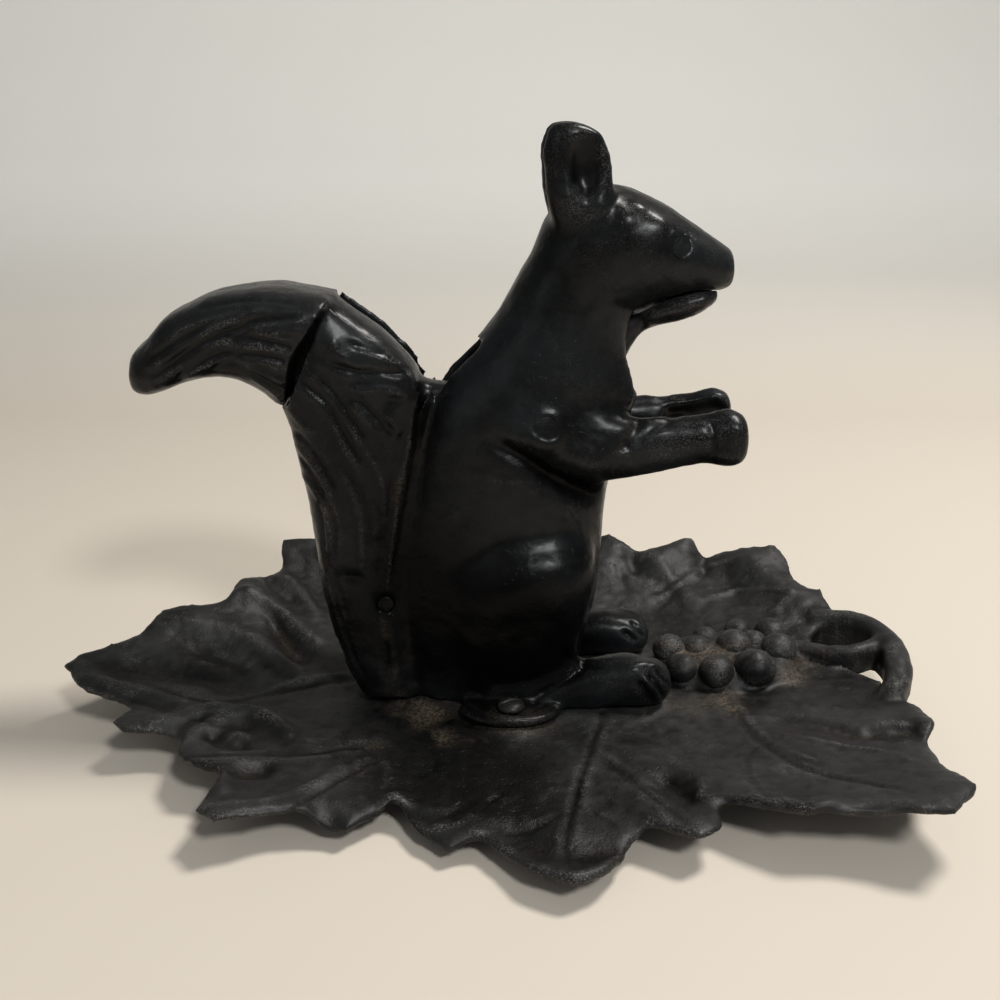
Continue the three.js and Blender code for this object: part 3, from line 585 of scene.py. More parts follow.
leaf_veins = [
    (
        -0.8, 1.2, (353, 681), (330, 683), (302, 687), (280, 692),
        (258, 696), (225, 702), (190, 700), (150, 684),
    ),
    (0.8, 1.6, (352, 675), (325, 677), (300, 681), (270, 688)),
    (-0.7, 1.2, (187, 758), (231, 754), (275, 754), (316, 755), (330, 750), (357, 747), (379, 747)),
    (0.6, 1.4, (195, 762), (240, 760), (290, 761), (330, 757)),
    (-0.9, 1.3, (220, 813), (255, 811), (289, 808), (330, 786), (363, 764), (382, 758)),
    (0.8, 1.8, (205, 806), (240, 803), (270, 802), (310, 788), (345, 765)),
    (0.6, 1.4, (150, 722), (185, 715), (215, 712), (240, 710)),
    (0.7, 1.4, (236, 733), (247, 738), (253, 747)),
    (-0.9, 2.2, (270, 612), (278, 630), (290, 648)),
    (-0.6, 1.2, (100, 690), (150, 706), (210, 722), (245, 728)),
    (-0.9, 0.9, (602, 712), (593, 744), (579, 779), (572, 811), (565, 832), (564, 864)),
    (0.5, 1.3, (610, 716), (602, 744), (588, 779), (580, 811), (573, 836)),
    (-0.7, 0.9, (590, 752), (614, 768), (646, 790), (667, 809), (689, 825)),
    (0.5, 1.4, (600, 750), (628, 768), (660, 790)),
    (-0.6, 0.9, (575, 804), (593, 814), (611, 825)),
    (-0.6, 0.9, (561, 814), (535, 826), (508, 835)),
    (-0.6, 1.0, (501, 793), (487, 804), (473, 814)),
    (
        0.9, 1.8, (475, 832), (505, 853), (537, 871), (565, 878),
        (604, 871), (628, 853), (646, 832), (660, 821),
    ),
    (0.6, 1.6, (410, 838), (430, 830), (450, 828), (465, 822), (485, 805)),
    (-0.8, 2.2, (412, 815), (435, 818), (455, 812), (470, 800)),
    (0.7, 1.6, (385, 760), (388, 775), (383, 790)),
    (
        -0.8, 1.0, (727, 701), (738, 719), (756, 740), (777, 754),
        (802, 768), (844, 779), (879, 786), (915, 793),
    ),
    (0.5, 1.4, (735, 699), (748, 717), (766, 737), (800, 757), (845, 769)),
    (-0.7, 1.0, (756, 747), (747, 761), (749, 775), (759, 790), (770, 797)),
    (0.8, 1.6, (700, 779), (703, 787), (699, 797)),
    (-0.9, 2.2, (870, 733), (890, 728), (910, 732), (925, 742)),
    (-0.7, 2.2, (777, 715), (820, 724), (862, 737)),
    (0.6, 1.3, (790, 735), (840, 745), (890, 752), (925, 765)),
    (-0.8, 1.8, (727, 806), (759, 816), (795, 822), (823, 812), (845, 806), (880, 806), (920, 814)),
    (0.7, 1.6, (655, 600), (690, 575), (720, 562), (760, 556)),
    (0.6, 1.4, (700, 600), (745, 588), (790, 590), (826, 600)),
    (-0.8, 2.4, (620, 560), (622, 575), (626, 590)),
    (0.6, 1.6, (795, 585), (785, 600), (775, 612)),
]
carve(tray, leaf_veins)
roughen(tray, [(0.5, 14), (0.3, 5.5), (0.2, 2.6)], 3)
scuffs = [
    (0.45, 7, (110, 655), (150, 670), (200, 690)),
    (0.4, 2, (150, 684), (225, 702), (300, 690)),
    (0.25, 1.2, (205, 818), (250, 818), (300, 812)),
    (0.2, 1.2, (475, 838), (537, 876), (604, 875), (660, 826)),
    (0.2, 1.2, (727, 800), (795, 820), (880, 805)),
    (0.25, 1.2, (311, 820), (352, 835), (396, 810)),
    (0.5, 4, (192, 640), (205, 650), (220, 662)),
    (0.5, 5, (165, 678), (205, 695), (247, 711)),
    (0.4, 3, (780, 768), (810, 772), (837, 779)),
    (0.6, 2, (520, 808), (530, 822)),
    (0.5, 3, (300, 740), (330, 745), (370, 740)),
]
rusty_places = [
    (0.9, 4, (380, 705), (410, 715), (440, 738)),
    (0.8, 5, (400, 700), (430, 712), (450, 742)),
    (0.75, 5, (660, 690), (700, 697), (740, 697), (790, 680), (810, 660)),
    (0.9, 5, (660, 650), (700, 655), (740, 655), (780, 650)),
    (0.8, 4, (800, 655), (820, 650), (840, 652)),
    (0.45, 6, (660, 700), (700, 712), (740, 705)),
    (0.5, 6, (320, 700), (350, 720), (380, 740)),
    (0.4, 4, (580, 655), (612, 652), (645, 648)),
    (0.5, 3, (455, 702), (480, 725), (520, 732), (560, 722)),
]
# Painted shade: the leaf's front under the squirrel and a few other places stay deep black, with
# less wear and no fade or paint film.
painted_shade_places = [
    (1, 16, (420, 730), (470, 750), (530, 775)),
    (0.9, 14, (400, 780), (460, 800), (530, 820)),
    (0.5, 10, (560, 840), (600, 850)),
    (0.6, 8, (270, 620), (300, 660)),
    (0.6, 8, (130, 740), (300, 790)),
    (0.8, 8, (670, 780), (700, 800)),
]
mark_wear(tray, scuffs, rusty_places, painted_shade_places)
rusty_leaf = cast_paint(
    "rusty_leaf_iron",
    paint=(0.0045, 0.0043, 0.004, 1),
    faded=(0.021, 0.021, 0.0202, 1),
    bare=(0.2, 0.19, 0.17, 1),
    dust=(0.12, 0.092, 0.063, 1),
    gloss=(0.4, 0.56),
    shine=0.24,
    film=0.3,
    grain=(0.9, 2.6, 1.0),
    wear=0.9,
    cling=0.25,
    bump=0.7,
)
finish_cast(tray, rusty_leaf, "body", "rusty_leaf_iron", "leaf_tray")

# Each grape is a round boss of the same casting: its place and its radius in millimetres.
grape_places = [
    (62.8, -1.7, 15.2, 5.3),
    (73.8, -4.9, 15.8, 6.1),
    (86.9, -4.2, 16.7, 7.0),
    (69.7, 9.9, 16.9, 5.2),
    (59.6, 9.9, 17.1, 5.4),
    (74.1, 20.9, 16.0, 4.7),
    (82.1, 9.1, 18.5, 6.2),
    (86.6, 24.2, 16.7, 5.3),
    (98.0, 21.2, 17.3, 6.3),
    (98.0, 9.0, 17.3, 6.0),
    (89.9, 14.5, 17.1, 5.0),
]
bm = bmesh.new()
for i, (x, y, z, radius) in enumerate(grape_places):
    made = bmesh.ops.create_icosphere(bm, subdivisions=4, radius=radius * mm)["verts"]
    squash = Vector((1 + 0.05 * math.sin(5 * i), 1 + 0.05 * math.cos(7 * i), 0.97))
    bmesh.ops.scale(bm, verts=made, vec=squash)
    bmesh.ops.translate(bm, verts=made, vec=(x * mm, y * mm, z * mm))
grapes = shape_of("grapes", bm)
roughen(grapes, [(0.5, 7), (0.25, 2.5), (0.12, 1.2)], 11)
dusty_gaps = [
    (0.7, 1.6, (667, 664), (690, 663), (717, 668), (733, 667), (770, 660), (785, 655)),
    (0.6, 1.6, (657, 640), (680, 648), (700, 647), (725, 648), (760, 638), (772, 640)),
    (0.5, 1.4, (666, 690), (700, 688), (735, 694), (775, 690)),
]
mark_wear(grapes, dusty=dusty_gaps)
finish_cast(grapes, rusty_leaf, "body", "rusty_leaf_iron")

# Body halves.
# The squirrel is cast hollow in two mirror halves that are riveted together on its middle plane.
# They carry the tail's foot, the haunches, the forelegs and the ears, under satin black paint.


def melt(piece, strokes, rounds, sides=(1,)):
    """Runs a skin's forms into each other along strokes, as a wide fillet does."""
    share = 0.5 * np.clip(pull_along(piece, strokes, sides), 0, 1)[:, None]
    move_points(piece, relaxed(points_of(piece), edges_of(piece), share, rounds))


def bare_flecks(fur):
    """Bare iron along the raised lines of the fur."""
    share, fleck_width = 0.35, 0.6
    return [(share, fleck_width, *path) for height, _, *path in fur if height > 0]


body_voxel = 0.78 * mm
overlap = 0.5 * mm
squirrel, squirrel_edges = even_skin(
    "squirrel", ["right_body_half", "left_body_half"], body_voxel, shifts=[overlap, -overlap]
)
# The ears, the forepaws, the nose and the base lugs, each in a ball that keeps its shape.
small_forms = [
    ((22 * mm, -11 * mm, 184 * mm), 13 * mm, 0.4),
    ((22 * mm, 11 * mm, 184 * mm), 13 * mm, 0.4),
    ((76 * mm, 0, 101 * mm), 22 * mm, 0.25),
    ((70 * mm, 0, 146 * mm), 14 * mm, 0.3),
    ((3.5 * mm, -31 * mm, 15 * mm), 12 * mm, 0.15),
    ((3.5 * mm, 31 * mm, 15 * mm), 12 * mm, 0.15),
]
soften(squirrel, squirrel_edges, 110, 1.8 * mm, small_forms, least_at_edges=0.18)
tail_foot_fur = [
    (0.7, 1.6, (332, 342), (334, 347)),
    (0.8, 1.7, (335, 353), (345, 360)),
    (-0.9, 1.3, (328, 365), (345, 370), (360, 373), (380, 373), (405, 374)),
    (0.7, 1.6, (320, 365), (335, 371), (350, 377)),
    (0.8, 1.6, (345, 385), (362, 392), (380, 388), (400, 393), (410, 402)),
    (0.7, 1.4, (360, 350), (375, 354), (388, 358), (395, 364)),
    (-0.8, 1.1, (350, 343), (365, 350), (385, 355), (398, 362)),
    (0.8, 1.6, (313, 376), (318, 385), (328, 395), (335, 403), (345, 418), (353, 430), (360, 443)),
    (-0.8, 1.1, (320, 376), (330, 390), (341, 402), (352, 418), (361, 434)),
    (0.8, 1.7, (300, 388), (315, 400), (325, 408), (335, 425), (342, 440), (350, 455), (358, 470)),
    (-0.9, 1.2, (304, 383), (318, 394), (330, 405), (341, 424), (349, 441), (358, 458)),
    (0.6, 1.3, (352, 405), (360, 415), (368, 423), (380, 434)),
    (0.5, 1.2, (385, 415), (395, 425), (400, 433)),
    (-0.7, 1.1, (360, 400), (372, 412), (384, 424), (392, 434)),
    (0.6, 1.4, (292, 413), (302, 425), (312, 433)),
    (-0.8, 1.1, (290, 430), (300, 436), (312, 450), (320, 460), (330, 475), (335, 487)),
    (0.7, 1.4, (290, 440), (300, 450), (312, 462), (322, 475), (328, 490), (332, 505), (336, 520)),
    (-0.7, 1.0, (300, 457), (310, 470), (318, 485), (325, 500)),
    (0.6, 1.2, (302, 475), (312, 487), (320, 500)),
    (-0.7, 1.0, (327, 500), (333, 515), (336, 535), (335, 560)),
    (0.6, 1.2, (324, 500), (328, 530), (330, 560)),
    (-0.6, 0.9, (318, 505), (324, 525), (325, 550), (328, 570)),
    (0.6, 1.2, (325, 570), (330, 590), (335, 605)),
    (-0.6, 1.0, (335, 570), (340, 590), (345, 605), (352, 640)),
    (0.6, 1.3, (340, 470), (352, 490), (360, 515), (362, 545), (362, 575)),
    (-0.7, 1.1, (348, 468), (360, 490), (368, 515), (370, 545)),
    (0.5, 1.2, (366, 450), (378, 470), (385, 495), (384, 525)),
    (-0.6, 1.1, (336, 600), (344, 630), (356, 660), (370, 685)),
    (0.5, 1.2, (330, 610), (338, 640), (350, 668), (362, 688)),
    (0.9, 1.5, (281, 412), (283, 414)),
    (-0.9, 3.0, (406, 412), (400, 450), (393, 490), (387, 530), (382, 570), (379, 600)),
    (0.6, 0.9, (414, 402), (410, 440), (403, 475), (397, 505), (393, 540), (389, 570), (387, 592)),
    (-0.5, 1.4, (420, 408), (417, 440), (411, 475), (405, 510), (400, 540), (396, 575)),
    (-0.8, 1.6, (379, 605), (384, 640), (391, 680)),
    (0.5, 2.2, (386, 615), (391, 645), (398, 685)),
    (-0.6, 0.8, (372, 500), (382, 520)),
    (0.5, 2.2, (372, 530), (373, 534)),
    (-0.8, 2.2, (346, 577), (358, 578)),
    (-0.5, 1.6, (388, 402), (400, 400), (408, 398)),
]
head_and_body_marks = [
    (0.6, 2.6, (622, 209), (628, 220)),
    (0.7, 2.4, (637, 206), (639, 209)),
    (0.6, 3.0, (661, 222), (664, 225)),
    (0.8, 2.6, (575, 190), (580, 205), (565, 195)),
    (0.7, 2.4, (600, 205), (596, 200)),
    (-0.35, 2.6, (582, 142), (581, 160), (580, 178), (580, 190)),
    (0.9, 1.2, (722, 241), (723, 243)),
    (-0.4, 2.4, (615, 308), (630, 312), (642, 316)),
    (0.6, 1.3, (648, 318), (658, 312), (668, 308), (680, 303), (700, 297), (720, 293)),
    (-1.0, 2.2, (640, 420), (635, 430), (628, 440), (625, 448)),
    (-0.7, 1.6, (640, 445), (645, 435), (655, 427), (670, 423)),
    (0.5, 1.4, (645, 420), (670, 418), (700, 417), (727, 410)),
    (0.5, 1.0, (620, 454), (628, 454)),
    (1.0, 3.4, (738, 428), (744, 443), (738, 458)),
    (-0.9, 1.5, (712, 424), (716, 440), (712, 458)),
    (-1.8, 2.6, (494, 443), (511, 452), (536, 466), (560, 480), (580, 490), (595, 494)),
    (-2.0, 3.6, (540, 474), (565, 488), (590, 498)),
    (2.0, 5.0, (515, 434), (545, 444), (575, 458), (600, 466)),
    (-0.35, 0.6, (568, 508), (572, 516), (580, 528)),
    (-0.4, 3.0, (440, 584), (470, 560), (500, 543), (530, 534), (560, 533)),
    (1.6, 9.0, (500, 600), (530, 582), (555, 578), (575, 590)),
    (-1.2, 1.8, (532, 698), (550, 689), (568, 679), (582, 668), (585, 658)),
    (0.5, 0.9, (470, 704), (485, 715), (510, 721), (535, 719), (553, 711)),
    (-0.5, 0.9, (478, 700), (490, 710), (510, 715), (530, 713), (545, 706)),
    (1.0, 3.5, (722, 456), (734, 460)),
    (-1.3, 1.1, (641, 683), (648, 693), (655, 703)),
    (-1.3, 1.1, (650, 676), (660, 688), (666, 698)),
    (-1.2, 1.0, (657, 670), (667, 681), (673, 692)),
    (0.9, 2.2, (632, 668), (645, 664), (657, 666)),
    (0.6, 1.2, (645, 680), (654, 690), (660, 700)),
    (-0.9, 1.1, (625, 632), (635, 640)),
    (-0.9, 1.1, (633, 622), (643, 635)),
    (0.5, 2.5, (530, 698), (545, 701)),
    (-0.7, 1.8, (545, 640), (565, 655), (585, 665), (600, 668)),
]
one_side_scars = [
    (0.45, 0.8, (672, 232), (678, 238), (682, 245)),
    (0.4, 0.7, (678, 247), (681, 254)),
    (0.4, 1.6, (543, 428), (547, 432)),
    (0.35, 0.8, (449, 510), (457, 511), (456, 516), (450, 516)),
]
both_sides = (1, -1)
# The ear's root, the haunch's upper edge and the ear's hollow run softly into what is round them.
fillets = [
    (1, 4.5, (549, 222), (563, 224), (580, 222)),
    (1, 3.5, (450, 580), (490, 552), (530, 538), (565, 538), (590, 550)),
    (1, 3.6, (585, 148), (583, 165), (583, 180), (584, 194)),
]
melt(squirrel, fillets, 90, both_sides)
carve(squirrel, tail_foot_fur, both_sides)
carve(squirrel, head_and_body_marks, both_sides)
carve(squirrel, one_side_scars)
roughen(squirrel, [(0.35, 16), (0.16, 5), (0.07, 2)], 21)
rubbed_and_highlit_places = [
    (0.6, 1.2, (281, 412), (285, 405)),
    (0.45, 0.9, (483, 479), (505, 482), (530, 484)),
    (0.35, 2.5, (655, 212), (680, 225)),
    (0.5, 0.8, (568, 508), (580, 528)),
    (0.5, 0.8, (613, 453), (622, 451), (630, 455)),
    (0.4, 5, (595, 208), (620, 203), (650, 216), (668, 228)),
    (0.5, 2.5, (553, 130), (575, 124), (600, 136), (606, 165)),
    (0.42, 9, (572, 145), (570, 175), (580, 200)),
    (0.2, 14, (610, 240), (650, 260), (700, 270)),
    (0.35, 3, (575, 197), (590, 205), (605, 200)),
    # Painted highlights, laid as pale flecks: the forearm and paw, the heel, the toes, the foot's
    # top and the chest.
    (0.6, 6, (655, 445), (690, 440), (735, 438)),
    (0.5, 2.5, (545, 695), (560, 688)),
    (0.5, 2, (648, 668), (660, 680), (666, 690)),
    (0.3, 6, (600, 680), (640, 672)),
    (0.25, 8, (560, 340), (585, 380), (600, 410)),
    (0.5, 0.8, (414, 402), (410, 440), (403, 475), (397, 505), (393, 540), (389, 570), (387, 592)),
    (0.5, 0.8, (399, 630), (397, 660), (399, 690)),
]
dusty_places = [
    (0.7, 1.6, (640, 418), (630, 435), (620, 454), (640, 470)),
    (0.45, 2.5, (402, 470), (395, 520), (386, 560)),
    (0.5, 2, (582, 656), (612, 653), (645, 650)),
    (0.6, 2, (380, 690), (400, 697), (440, 700)),
    (0.5, 1.5, (380, 610), (388, 650), (396, 685)),
    (0.5, 3, (300, 440), (320, 480), (330, 530)),
    (0.4, 4, (478, 704), (500, 716), (530, 717), (550, 710)),
]
rubbed_and_highlit_places += bare_flecks(tail_foot_fur)
# Painted shade: the low haunch, the low tail foot and the crease under the arm stay deep black.
painted_shade_low = [
    (0.9, 18, (440, 590), (450, 640), (500, 670)),
    (0.9, 16, (500, 600), (550, 620), (560, 660)),
    (0.7, 14, (400, 480), (400, 560), (360, 640)),
    (1, 3.5, (515, 456), (545, 474), (575, 490), (596, 496)),
]
round_the_head = 1.2 * mm
rivet_spots = []
for node in ("pivot_pin", "tail_rivet", "eye_rivet"):
    low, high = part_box(node)
    radius = (high.x - low.x) / 2 + round_the_head
    rivet_spots.append(((low.x + high.x) / 2, (low.z + high.z) / 2, radius))
mark_wear(squirrel, rubbed_and_highlit_places, dusty_places, painted_shade_low, both_sides, rivet_spots)
black_paint = dict(
    paint=(0.0015, 0.0015, 0.0015, 1),
    faded=(0.0098, 0.0108, 0.0116, 1),
    bare=(0.15, 0.148, 0.14, 1),
    dust=(0.085, 0.067, 0.048, 1),
    gloss=(0.21, 0.33),
    shine=0.18,
    film=0.6,
    cling=0,
)
black_iron = cast_paint(
    "black_painted_iron", **black_paint, grain=(0.7, 2.2, 1.0), wear=0.6, bump=0.5
)
parting_gap = 0.15 * mm
halves = [(-1, "right_body_half", "right_casting"), (1, "left_body_half", "left_casting")]
for side, node, name in halves:
    bm = bmesh.new()
    bm.from_mesh(squirrel.data)
    whole = [*bm.verts, *bm.edges, *bm.faces]
    parting = {"plane_co": (0, side * parting_gap, 0), "plane_no": (0, -side, 0)}
    cut = bmesh.ops.bisect_plane(bm, geom=whole, clear_outer=True, **parting)
    rim = [e for e in cut["geom_cut"] if isinstance(e, bmesh.types.BMEdge)]
    bmesh.ops.triangle_fill(bm, edges=rim, normal=(0, -side, 0), use_beauty=True)
    finish_cast(shape_of(name, bm), black_iron, "body", "black_painted_iron", node)
bpy.data.objects.remove(squirrel)

# Tail lever.
# A solid casting: the tail's upper half is the handle, and a flat web runs inside to the pivot.
# Past the pivot a thin arm rises into the head and ends in the lower jaw with its nut cup.
lever_voxel = 0.72 * mm
lever, lever_edges = even_skin("lever_casting", ["tail_lever"], lever_voxel)
jaw = ((60 * mm, 0, 141 * mm), 18 * mm, 0.3)
soften(lever, lever_edges, 120, 2.4 * mm, [jaw])
handle_fur = [
    (0.6, 1.5, (145, 355), (160, 342), (172, 338), (185, 327), (205, 322), (222, 318), (240, 311)),
    (-0.8, 1.1, (148, 361), (165, 350), (180, 340), (200, 329), (218, 320), (240, 314)),
    (0.8, 2.0, (150, 367), (165, 357), (180, 345), (200, 335), (215, 325), (235, 320), (255, 310)),
    (-0.9, 1.2, (152, 376), (168, 366), (184, 353), (204, 343), (220, 333), (240, 327), (262, 317)),
    (-0.6, 1.3, (200, 308), (240, 299), (280, 300), (300, 305)),
    (0.6, 1.3, (250, 326), (275, 325), (300, 322)),
    (-0.6, 1.0, (254, 321), (277, 319), (298, 316)),
    (0.6, 1.2, (255, 331), (280, 332), (300, 331)),
    (0.6, 1.2, (258, 334), (275, 338), (292, 340)),
    (-0.7, 1.0, (252, 337), (272, 342), (290, 346)),
    (0.6, 1.4, (245, 360), (262, 362), (280, 368)),
    (0.7, 1.4, (240, 362), (260, 372), (275, 380), (284, 383)),
    (-0.7, 1.1, (243, 353), (263, 355), (284, 360)),
    (0.6, 1.4, (250, 375), (265, 385), (280, 398)),
    (-0.7, 1.1, (246, 369), (264, 379), (282, 391)),
    (0.6, 1.5, (185, 377), (200, 367), (212, 363)),
    (-0.7, 1.2, (170, 383), (190, 370), (210, 357), (232, 349)),
    (0.6, 1.4, (195, 350), (212, 343), (232, 340)),
    (-0.6, 1.1, (215, 368), (230, 362), (246, 366)),
    (0.5, 1.4, (225, 345), (250, 345), (285, 352)),
]
carve(lever, handle_fur, both_sides)
jaw_edge = [
    (1.8, 2.0, (648, 318), (660, 312), (675, 307), (692, 302), (712, 298)),
    (0.8, 3.0, (655, 322), (680, 316), (700, 310)),
]
carve(lever, jaw_edge, both_sides)
roughen(lever, [(0.3, 14), (0.16, 4.5), (0.07, 1.8)], 47)
mark_wear(lever, bare_flecks(handle_fur), sides=both_sides)
handle_iron = cast_paint(
    "worn_handle_iron",
    paint=(0.003, 0.003, 0.0028, 1),
    faded=(0.0105, 0.011, 0.0114, 1),
    bare=(0.2, 0.197, 0.187, 1),
    dust=(0.085, 0.07, 0.052, 1),
    gloss=(0.22, 0.34),
    shine=0.22,
    film=0.5,
    grain=(0.8, 2.6, 0.8),
    wear=0.85,
    cling=0,
    bump=0.5,
)
finish_cast(lever, handle_iron, "lever", "black_painted_iron", "tail_lever")

# Pivot pin and rivets.
# Steel shafts hammered over at both ends, under the same black paint as the castings.
# The pin carries the lever, the tail rivet and the eye rivet hold the two halves together.
painted_steel = cast_paint(
    "painted_steel", **black_paint, grain=(0.7, 2.0, 0.6), wear=0.5, bump=0.4
)


def turned(name, profile, axis_point, axis):
    """A shaft turned from half its profile: distances from the axis and along it."""
    bm = bmesh.new()
    rim = [bm.verts.new((radius, 0, along)) for radius, along in profile]
    line = [bm.edges.new(pair) for pair in zip(rim, rim[1:])]
    full_turn = {"cent": (0, 0, 0), "axis": (0, 0, 1), "angle": 2 * math.pi, "steps": 32}
    bmesh.ops.spin(bm, geom=[*rim, *line], use_merge=True, **full_turn)
    bmesh.ops.remove_doubles(bm, verts=bm.verts, dist=merge_distance)
    bmesh.ops.recalc_face_normals(bm, faces=bm.faces)
    turn = Vector((0, 0, 1)).rotation_difference(Vector(axis)).to_matrix()
    bmesh.ops.rotate(bm, verts=bm.verts, cent=(0, 0, 0), matrix=turn)
    bmesh.ops.translate(bm, verts=bm.verts, vec=axis_point)
    return shape_of(name, bm)


def skin_plane(casting, side, middle, radius):
    """The plane of a casting's skin round a cross hole: a height, and slopes along x and z."""
    probes = 16
    outside = 200 * mm
    tree = skin_tree(bpy.data.objects[casting])
    ring = []
    for k in range(probes):
        turn = 2 * math.pi * k / probes
        x, z = middle.x + radius * math.cos(turn), middle.z + radius * math.sin(turn)
        start = Vector((x, side * outside, z))
        hit = tree.ray_cast(start, Vector((0, -side, 0)))[0]
        if hit:
            ring.append(hit)
    ring = np.array(ring)
    table = np.stack([np.ones(len(ring)), ring[:, 0] - middle.x, ring[:, 2] - middle.z], 1)
    return np.linalg.lstsq(table, ring[:, 1], rcond=None)[0]


def hammered_rivet(node, shank, lap, black=()):
    """A plain shank, whose ends are hammered into low wide domes that follow the castings' skin.

    The lap is how far a head spreads past the CAD's head.
    """
    low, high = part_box(node)
    middle = (low + high) / 2
    head = (high.x - low.x) / 2 + lap
    reach = (high.y - low.y) / 2
    thickness = 1.2 * mm
    dome = 0.35 * mm
    ring_share = 1.3
    all_round = 10 * mm
    half = [(shank, reach - 2 * thickness), (0.98 * head, reach - thickness)]
    half += [(share * head, reach) for share in (1, 0.85, 0.7, 0.5, 0.25, 0)]
    profile = [(r, -z) for r, z in reversed(half)] + half
    piece = turned(node.replace("pivot_pin", "pivot_shaft") + "_turned", profile, middle, (0, 1, 0))
    points = points_of(piece)
    for casting, side in (("right_casting", -1), ("left_casting", 1)):
        height, slope_x, slope_z = skin_plane(casting, side, middle, ring_share * head)
        x, z = points[:, 0] - middle.x, points[:, 2] - middle.z
        rise = dome * np.clip(1 - (x**2 + z**2) / head**2, 0, 1)
        shift = height + slope_x * x + slope_z * z - side * (reach - rise)
        points[:, 1] += shift * (side * points[:, 1] > reach - 1.5 * thickness)
    move_points(piece, points)
    roughen(piece, [(0.18, 3), (0.1, 1.2)], 5)
    mark_wear(piece, black=black, plain=[(middle.x, middle.z, all_round)])
    finish_cast(piece, painted_steel, "body", "painted_steel", node)


hammered_rivet("pivot_pin", 3 * mm, lap=1.1 * mm)
hammered_rivet("tail_rivet", 1.6 * mm, lap=0.2 * mm, black=[(0.9, 6, (385, 604))])
hammered_rivet("eye_rivet", 1.6 * mm, lap=1.1 * mm)

# Base screws and nuts.
# One slotted round-head steel screw each side goes down through the body's lug and the tray.
# A small hexagon nut holds it from below, in a recess of the tray's foot.
oxidised_steel = cast_paint(
    "oxidised_steel",
    paint=(0.003, 0.003, 0.0028, 1),
    faded=(0.012, 0.0115, 0.0105, 1),
    bare=(0.1, 0.098, 0.092, 1),
    dust=(0.1, 0.075, 0.048, 1),
    gloss=(0.28, 0.45),
    shine=0.26,
    film=0.3,
    grain=(0.5, 1.6, 0.4),
    wear=0.5,
    cling=0.5,
    bump=0.25,
)


def bored(piece, tool):
    """Cuts a tool's shape out of a piece, and takes the tool away."""
    cut = piece.modifiers.new("bore", "BOOLEAN")
    cut.operation = "DIFFERENCE"
    cut.object = tool
    apply_modifiers(piece)
    bpy.data.objects.remove(tool)


def slotted_screw(side):
    low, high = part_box(f"{side}_base_screw")
    head = (high.x - low.x) / 2
    shank = 2.5 * mm
    head_height = 2.6 * mm
    seat = high.z - head_height
    thread_pitch = 0.8 * mm
    thread_depth = 0.35 * mm
    half_turn = 0.5 * thread_pitch
    half_turns = 26
    threads = [
        (shank - thread_depth * (k % 2), low.z + half_turn * (k + 1)) for k in range(half_turns)
    ]
    dome = [(0.98, 0.02), (1, 0.12), (0.97, 0.35), (0.86, 0.62), (0.62, 0.85), (0.3, 0.97), (0, 1)]
    profile = [(0, low.z), (shank - thread_depth, low.z), *threads, (shank, seat)]
    profile += [(share * head, seat + rise * head_height) for share, rise in dome]
    middle = (low + high) / 2
    slot_size = (3 * head, 1.1 * mm, 2.4 * mm)
    slot_turn = math.radians(25)
    screw = turned(f"{side}_slotted_screw", profile, (middle.x, middle.y, 0), (0, 0, 1))
    slot = bmesh.new()
    bmesh.ops.create_cube(slot, size=1)
    bmesh.ops.scale(slot, vec=slot_size, verts=slot.verts)
    turn = Matrix.Rotation(slot_turn, 3, "Z")
    bmesh.ops.rotate(slot, verts=slot.verts, cent=(0, 0, 0), matrix=turn)
    bmesh.ops.translate(slot, verts=slot.verts, vec=(middle.x, middle.y, high.z))
    bored(screw, shape_of("slot", slot))
    mark_wear(screw)
    finish_cast(screw, oxidised_steel, "body", "worn_steel", f"{side}_base_screw")


def hexagon_nut(side):
    low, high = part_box(f"{side}_base_nut")
    middle = (low + high) / 2
    height = high.z - low.z
    corner = (high.y - low.y) / 2
    bore = 2.8 * mm
    chamfer = 0.4 * mm
    bm = bmesh.new()
    bmesh.ops.create_cone(
        bm, cap_ends=True, segments=6, radius1=corner, radius2=corner, depth=height
    )
    quarter_turn = Matrix.Rotation(math.pi / 2, 3, "Z")
    bmesh.ops.rotate(bm, verts=bm.verts, cent=(0, 0, 0), matrix=quarter_turn)
    bmesh.ops.bevel(
        bm, geom=bm.edges, offset=chamfer, segments=3, profile=0.5, affect="EDGES", material=-1
    )
    bmesh.ops.translate(bm, verts=bm.verts, vec=middle)
    nut = shape_of(f"{side}_hexagon_nut", bm)
    hole = bmesh.new()
    bmesh.ops.create_cone(
        hole, cap_ends=True, segments=32, radius1=bore, radius2=bore, depth=2 * height
    )
    bmesh.ops.translate(hole, verts=hole.verts, vec=middle)
    bored(nut, shape_of("hole", hole))
    mark_wear(nut)
    finish_cast(nut, oxidised_steel, "body", "worn_steel", f"{side}_base_nut")


for side in ("right", "left"):
    slotted_screw(side)
    hexagon_nut(side)

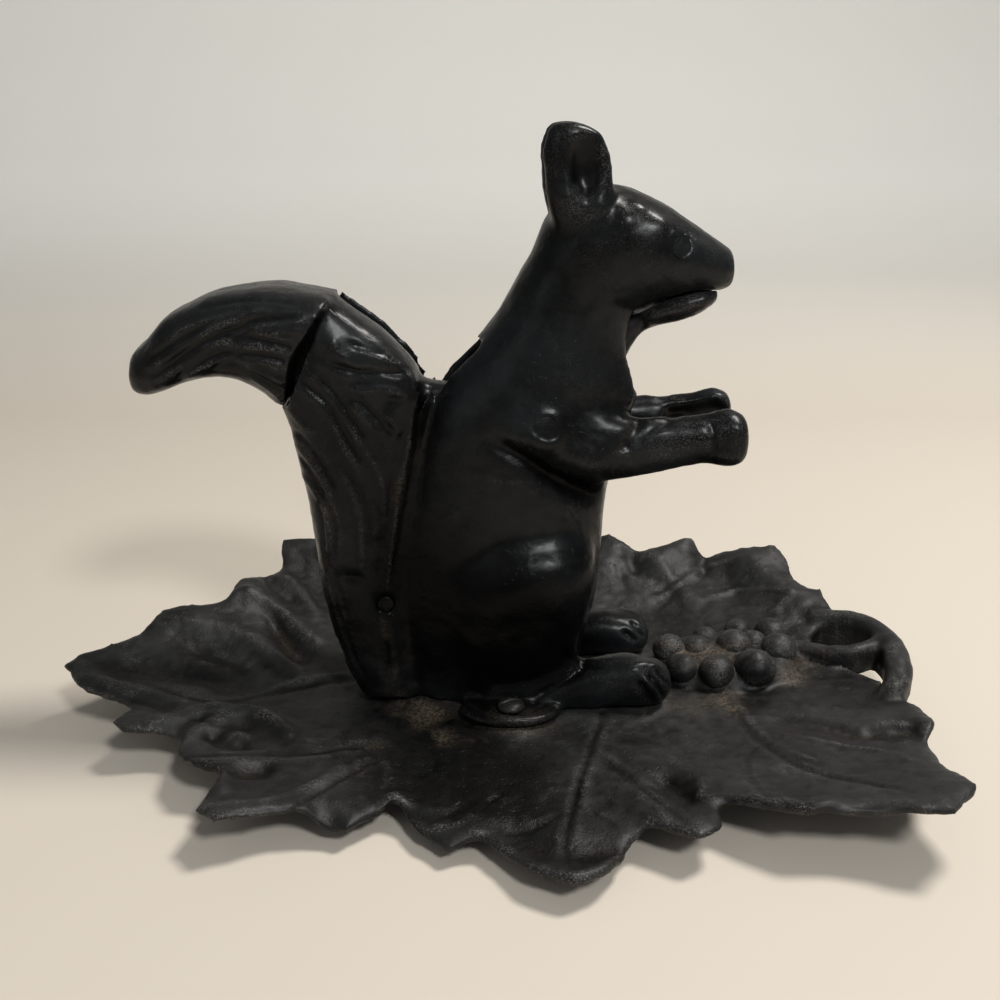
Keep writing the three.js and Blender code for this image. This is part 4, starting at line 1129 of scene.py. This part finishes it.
# Floor, backdrop and light.
# A plain cream floor that pales with distance and sweeps up into an off-white backdrop.
# One round lamp stands high on the right, one over the camera's right, and a weak one on the left.
bm = bmesh.new()
sweep = [(-3, 0), (1.1, 0), (1.3, 0.03), (1.45, 0.12), (1.55, 0.28), (1.6, 0.5), (1.6, 3)]
line = [bm.verts.new((-3, y, z)) for y, z in sweep]
edges = [bm.edges.new(pair) for pair in zip(line, line[1:])]
moved = bmesh.ops.extrude_edge_only(bm, edges=edges)["geom"]
right_edge = [v for v in moved if isinstance(v, bmesh.types.BMVert)]
bmesh.ops.translate(bm, verts=right_edge, vec=(6, 0, 0))
bmesh.ops.recalc_face_normals(bm, faces=bm.faces)
floor = shape_of("floor", bm)
floor.data.shade_smooth()
cream = bpy.data.materials.new("cream_floor")
cream.use_nodes = True
tree = cream.node_tree
shader = tree.nodes["Principled BSDF"]
place = tree.nodes.new("ShaderNodeTexCoord")
axes = tree.nodes.new("ShaderNodeSeparateXYZ")
tree.links.new(place.outputs["Object"], axes.inputs[0])
far_share = scaled(tree, axes.outputs["Y"], 0.4, 1.4)
floor_cream, backdrop_white = (0.6, 0.54, 0.455, 1), (0.9, 0.88, 0.82, 1)
far_glow = 0.15
floor_colour = tinted(tree, floor_cream, backdrop_white, far_share)
tree.links.new(floor_colour, shader.inputs["Base Color"])
seen = tree.nodes.new("ShaderNodeLightPath").outputs["Is Camera Ray"]
glow = multiplied(tree, multiplied(tree, far_share, seen), far_glow)
shader.inputs["Emission Color"].default_value = (0.93, 0.9, 0.84, 1)
tree.links.new(glow, shader.inputs["Emission Strength"])
shader.inputs["Roughness"].default_value = 0.9
floor.data.materials.append(cream)

world = bpy.data.worlds.new("room")
world.use_nodes = True
background = world.node_tree.nodes["Background"]
background.inputs["Color"].default_value = (0.9, 0.93, 0.98, 1)
background.inputs["Strength"].default_value = 0.21
scene.world = world


def soft_lamp(name, place, target, size, power, colour):
    light = bpy.data.lights.new(name, "AREA")
    light.shape = "DISK"
    light.size = size
    light.energy = power
    light.color = colour
    lamp = bpy.data.objects.new(name, light)
    lamp.location = place
    lamp.rotation_euler = (Vector(target) - Vector(place)).to_track_quat("-Z", "Y").to_euler()
    scene.collection.objects.link(lamp)


soft_lamp("key_lamp", (0.55, 0.15, 1.15), (0, 0, 0.08), 0.32, 14, (1, 0.97, 0.93))
soft_lamp("front_lamp", (0.38, -0.88, 0.9), (0, 0, 0.08), 0.2, 7.5, (0.98, 0.99, 1))
soft_lamp("fill_lamp", (-0.8, -0.9, 0.7), (0, 0, 0.1), 0.8, 0.8, (0.97, 0.98, 1))
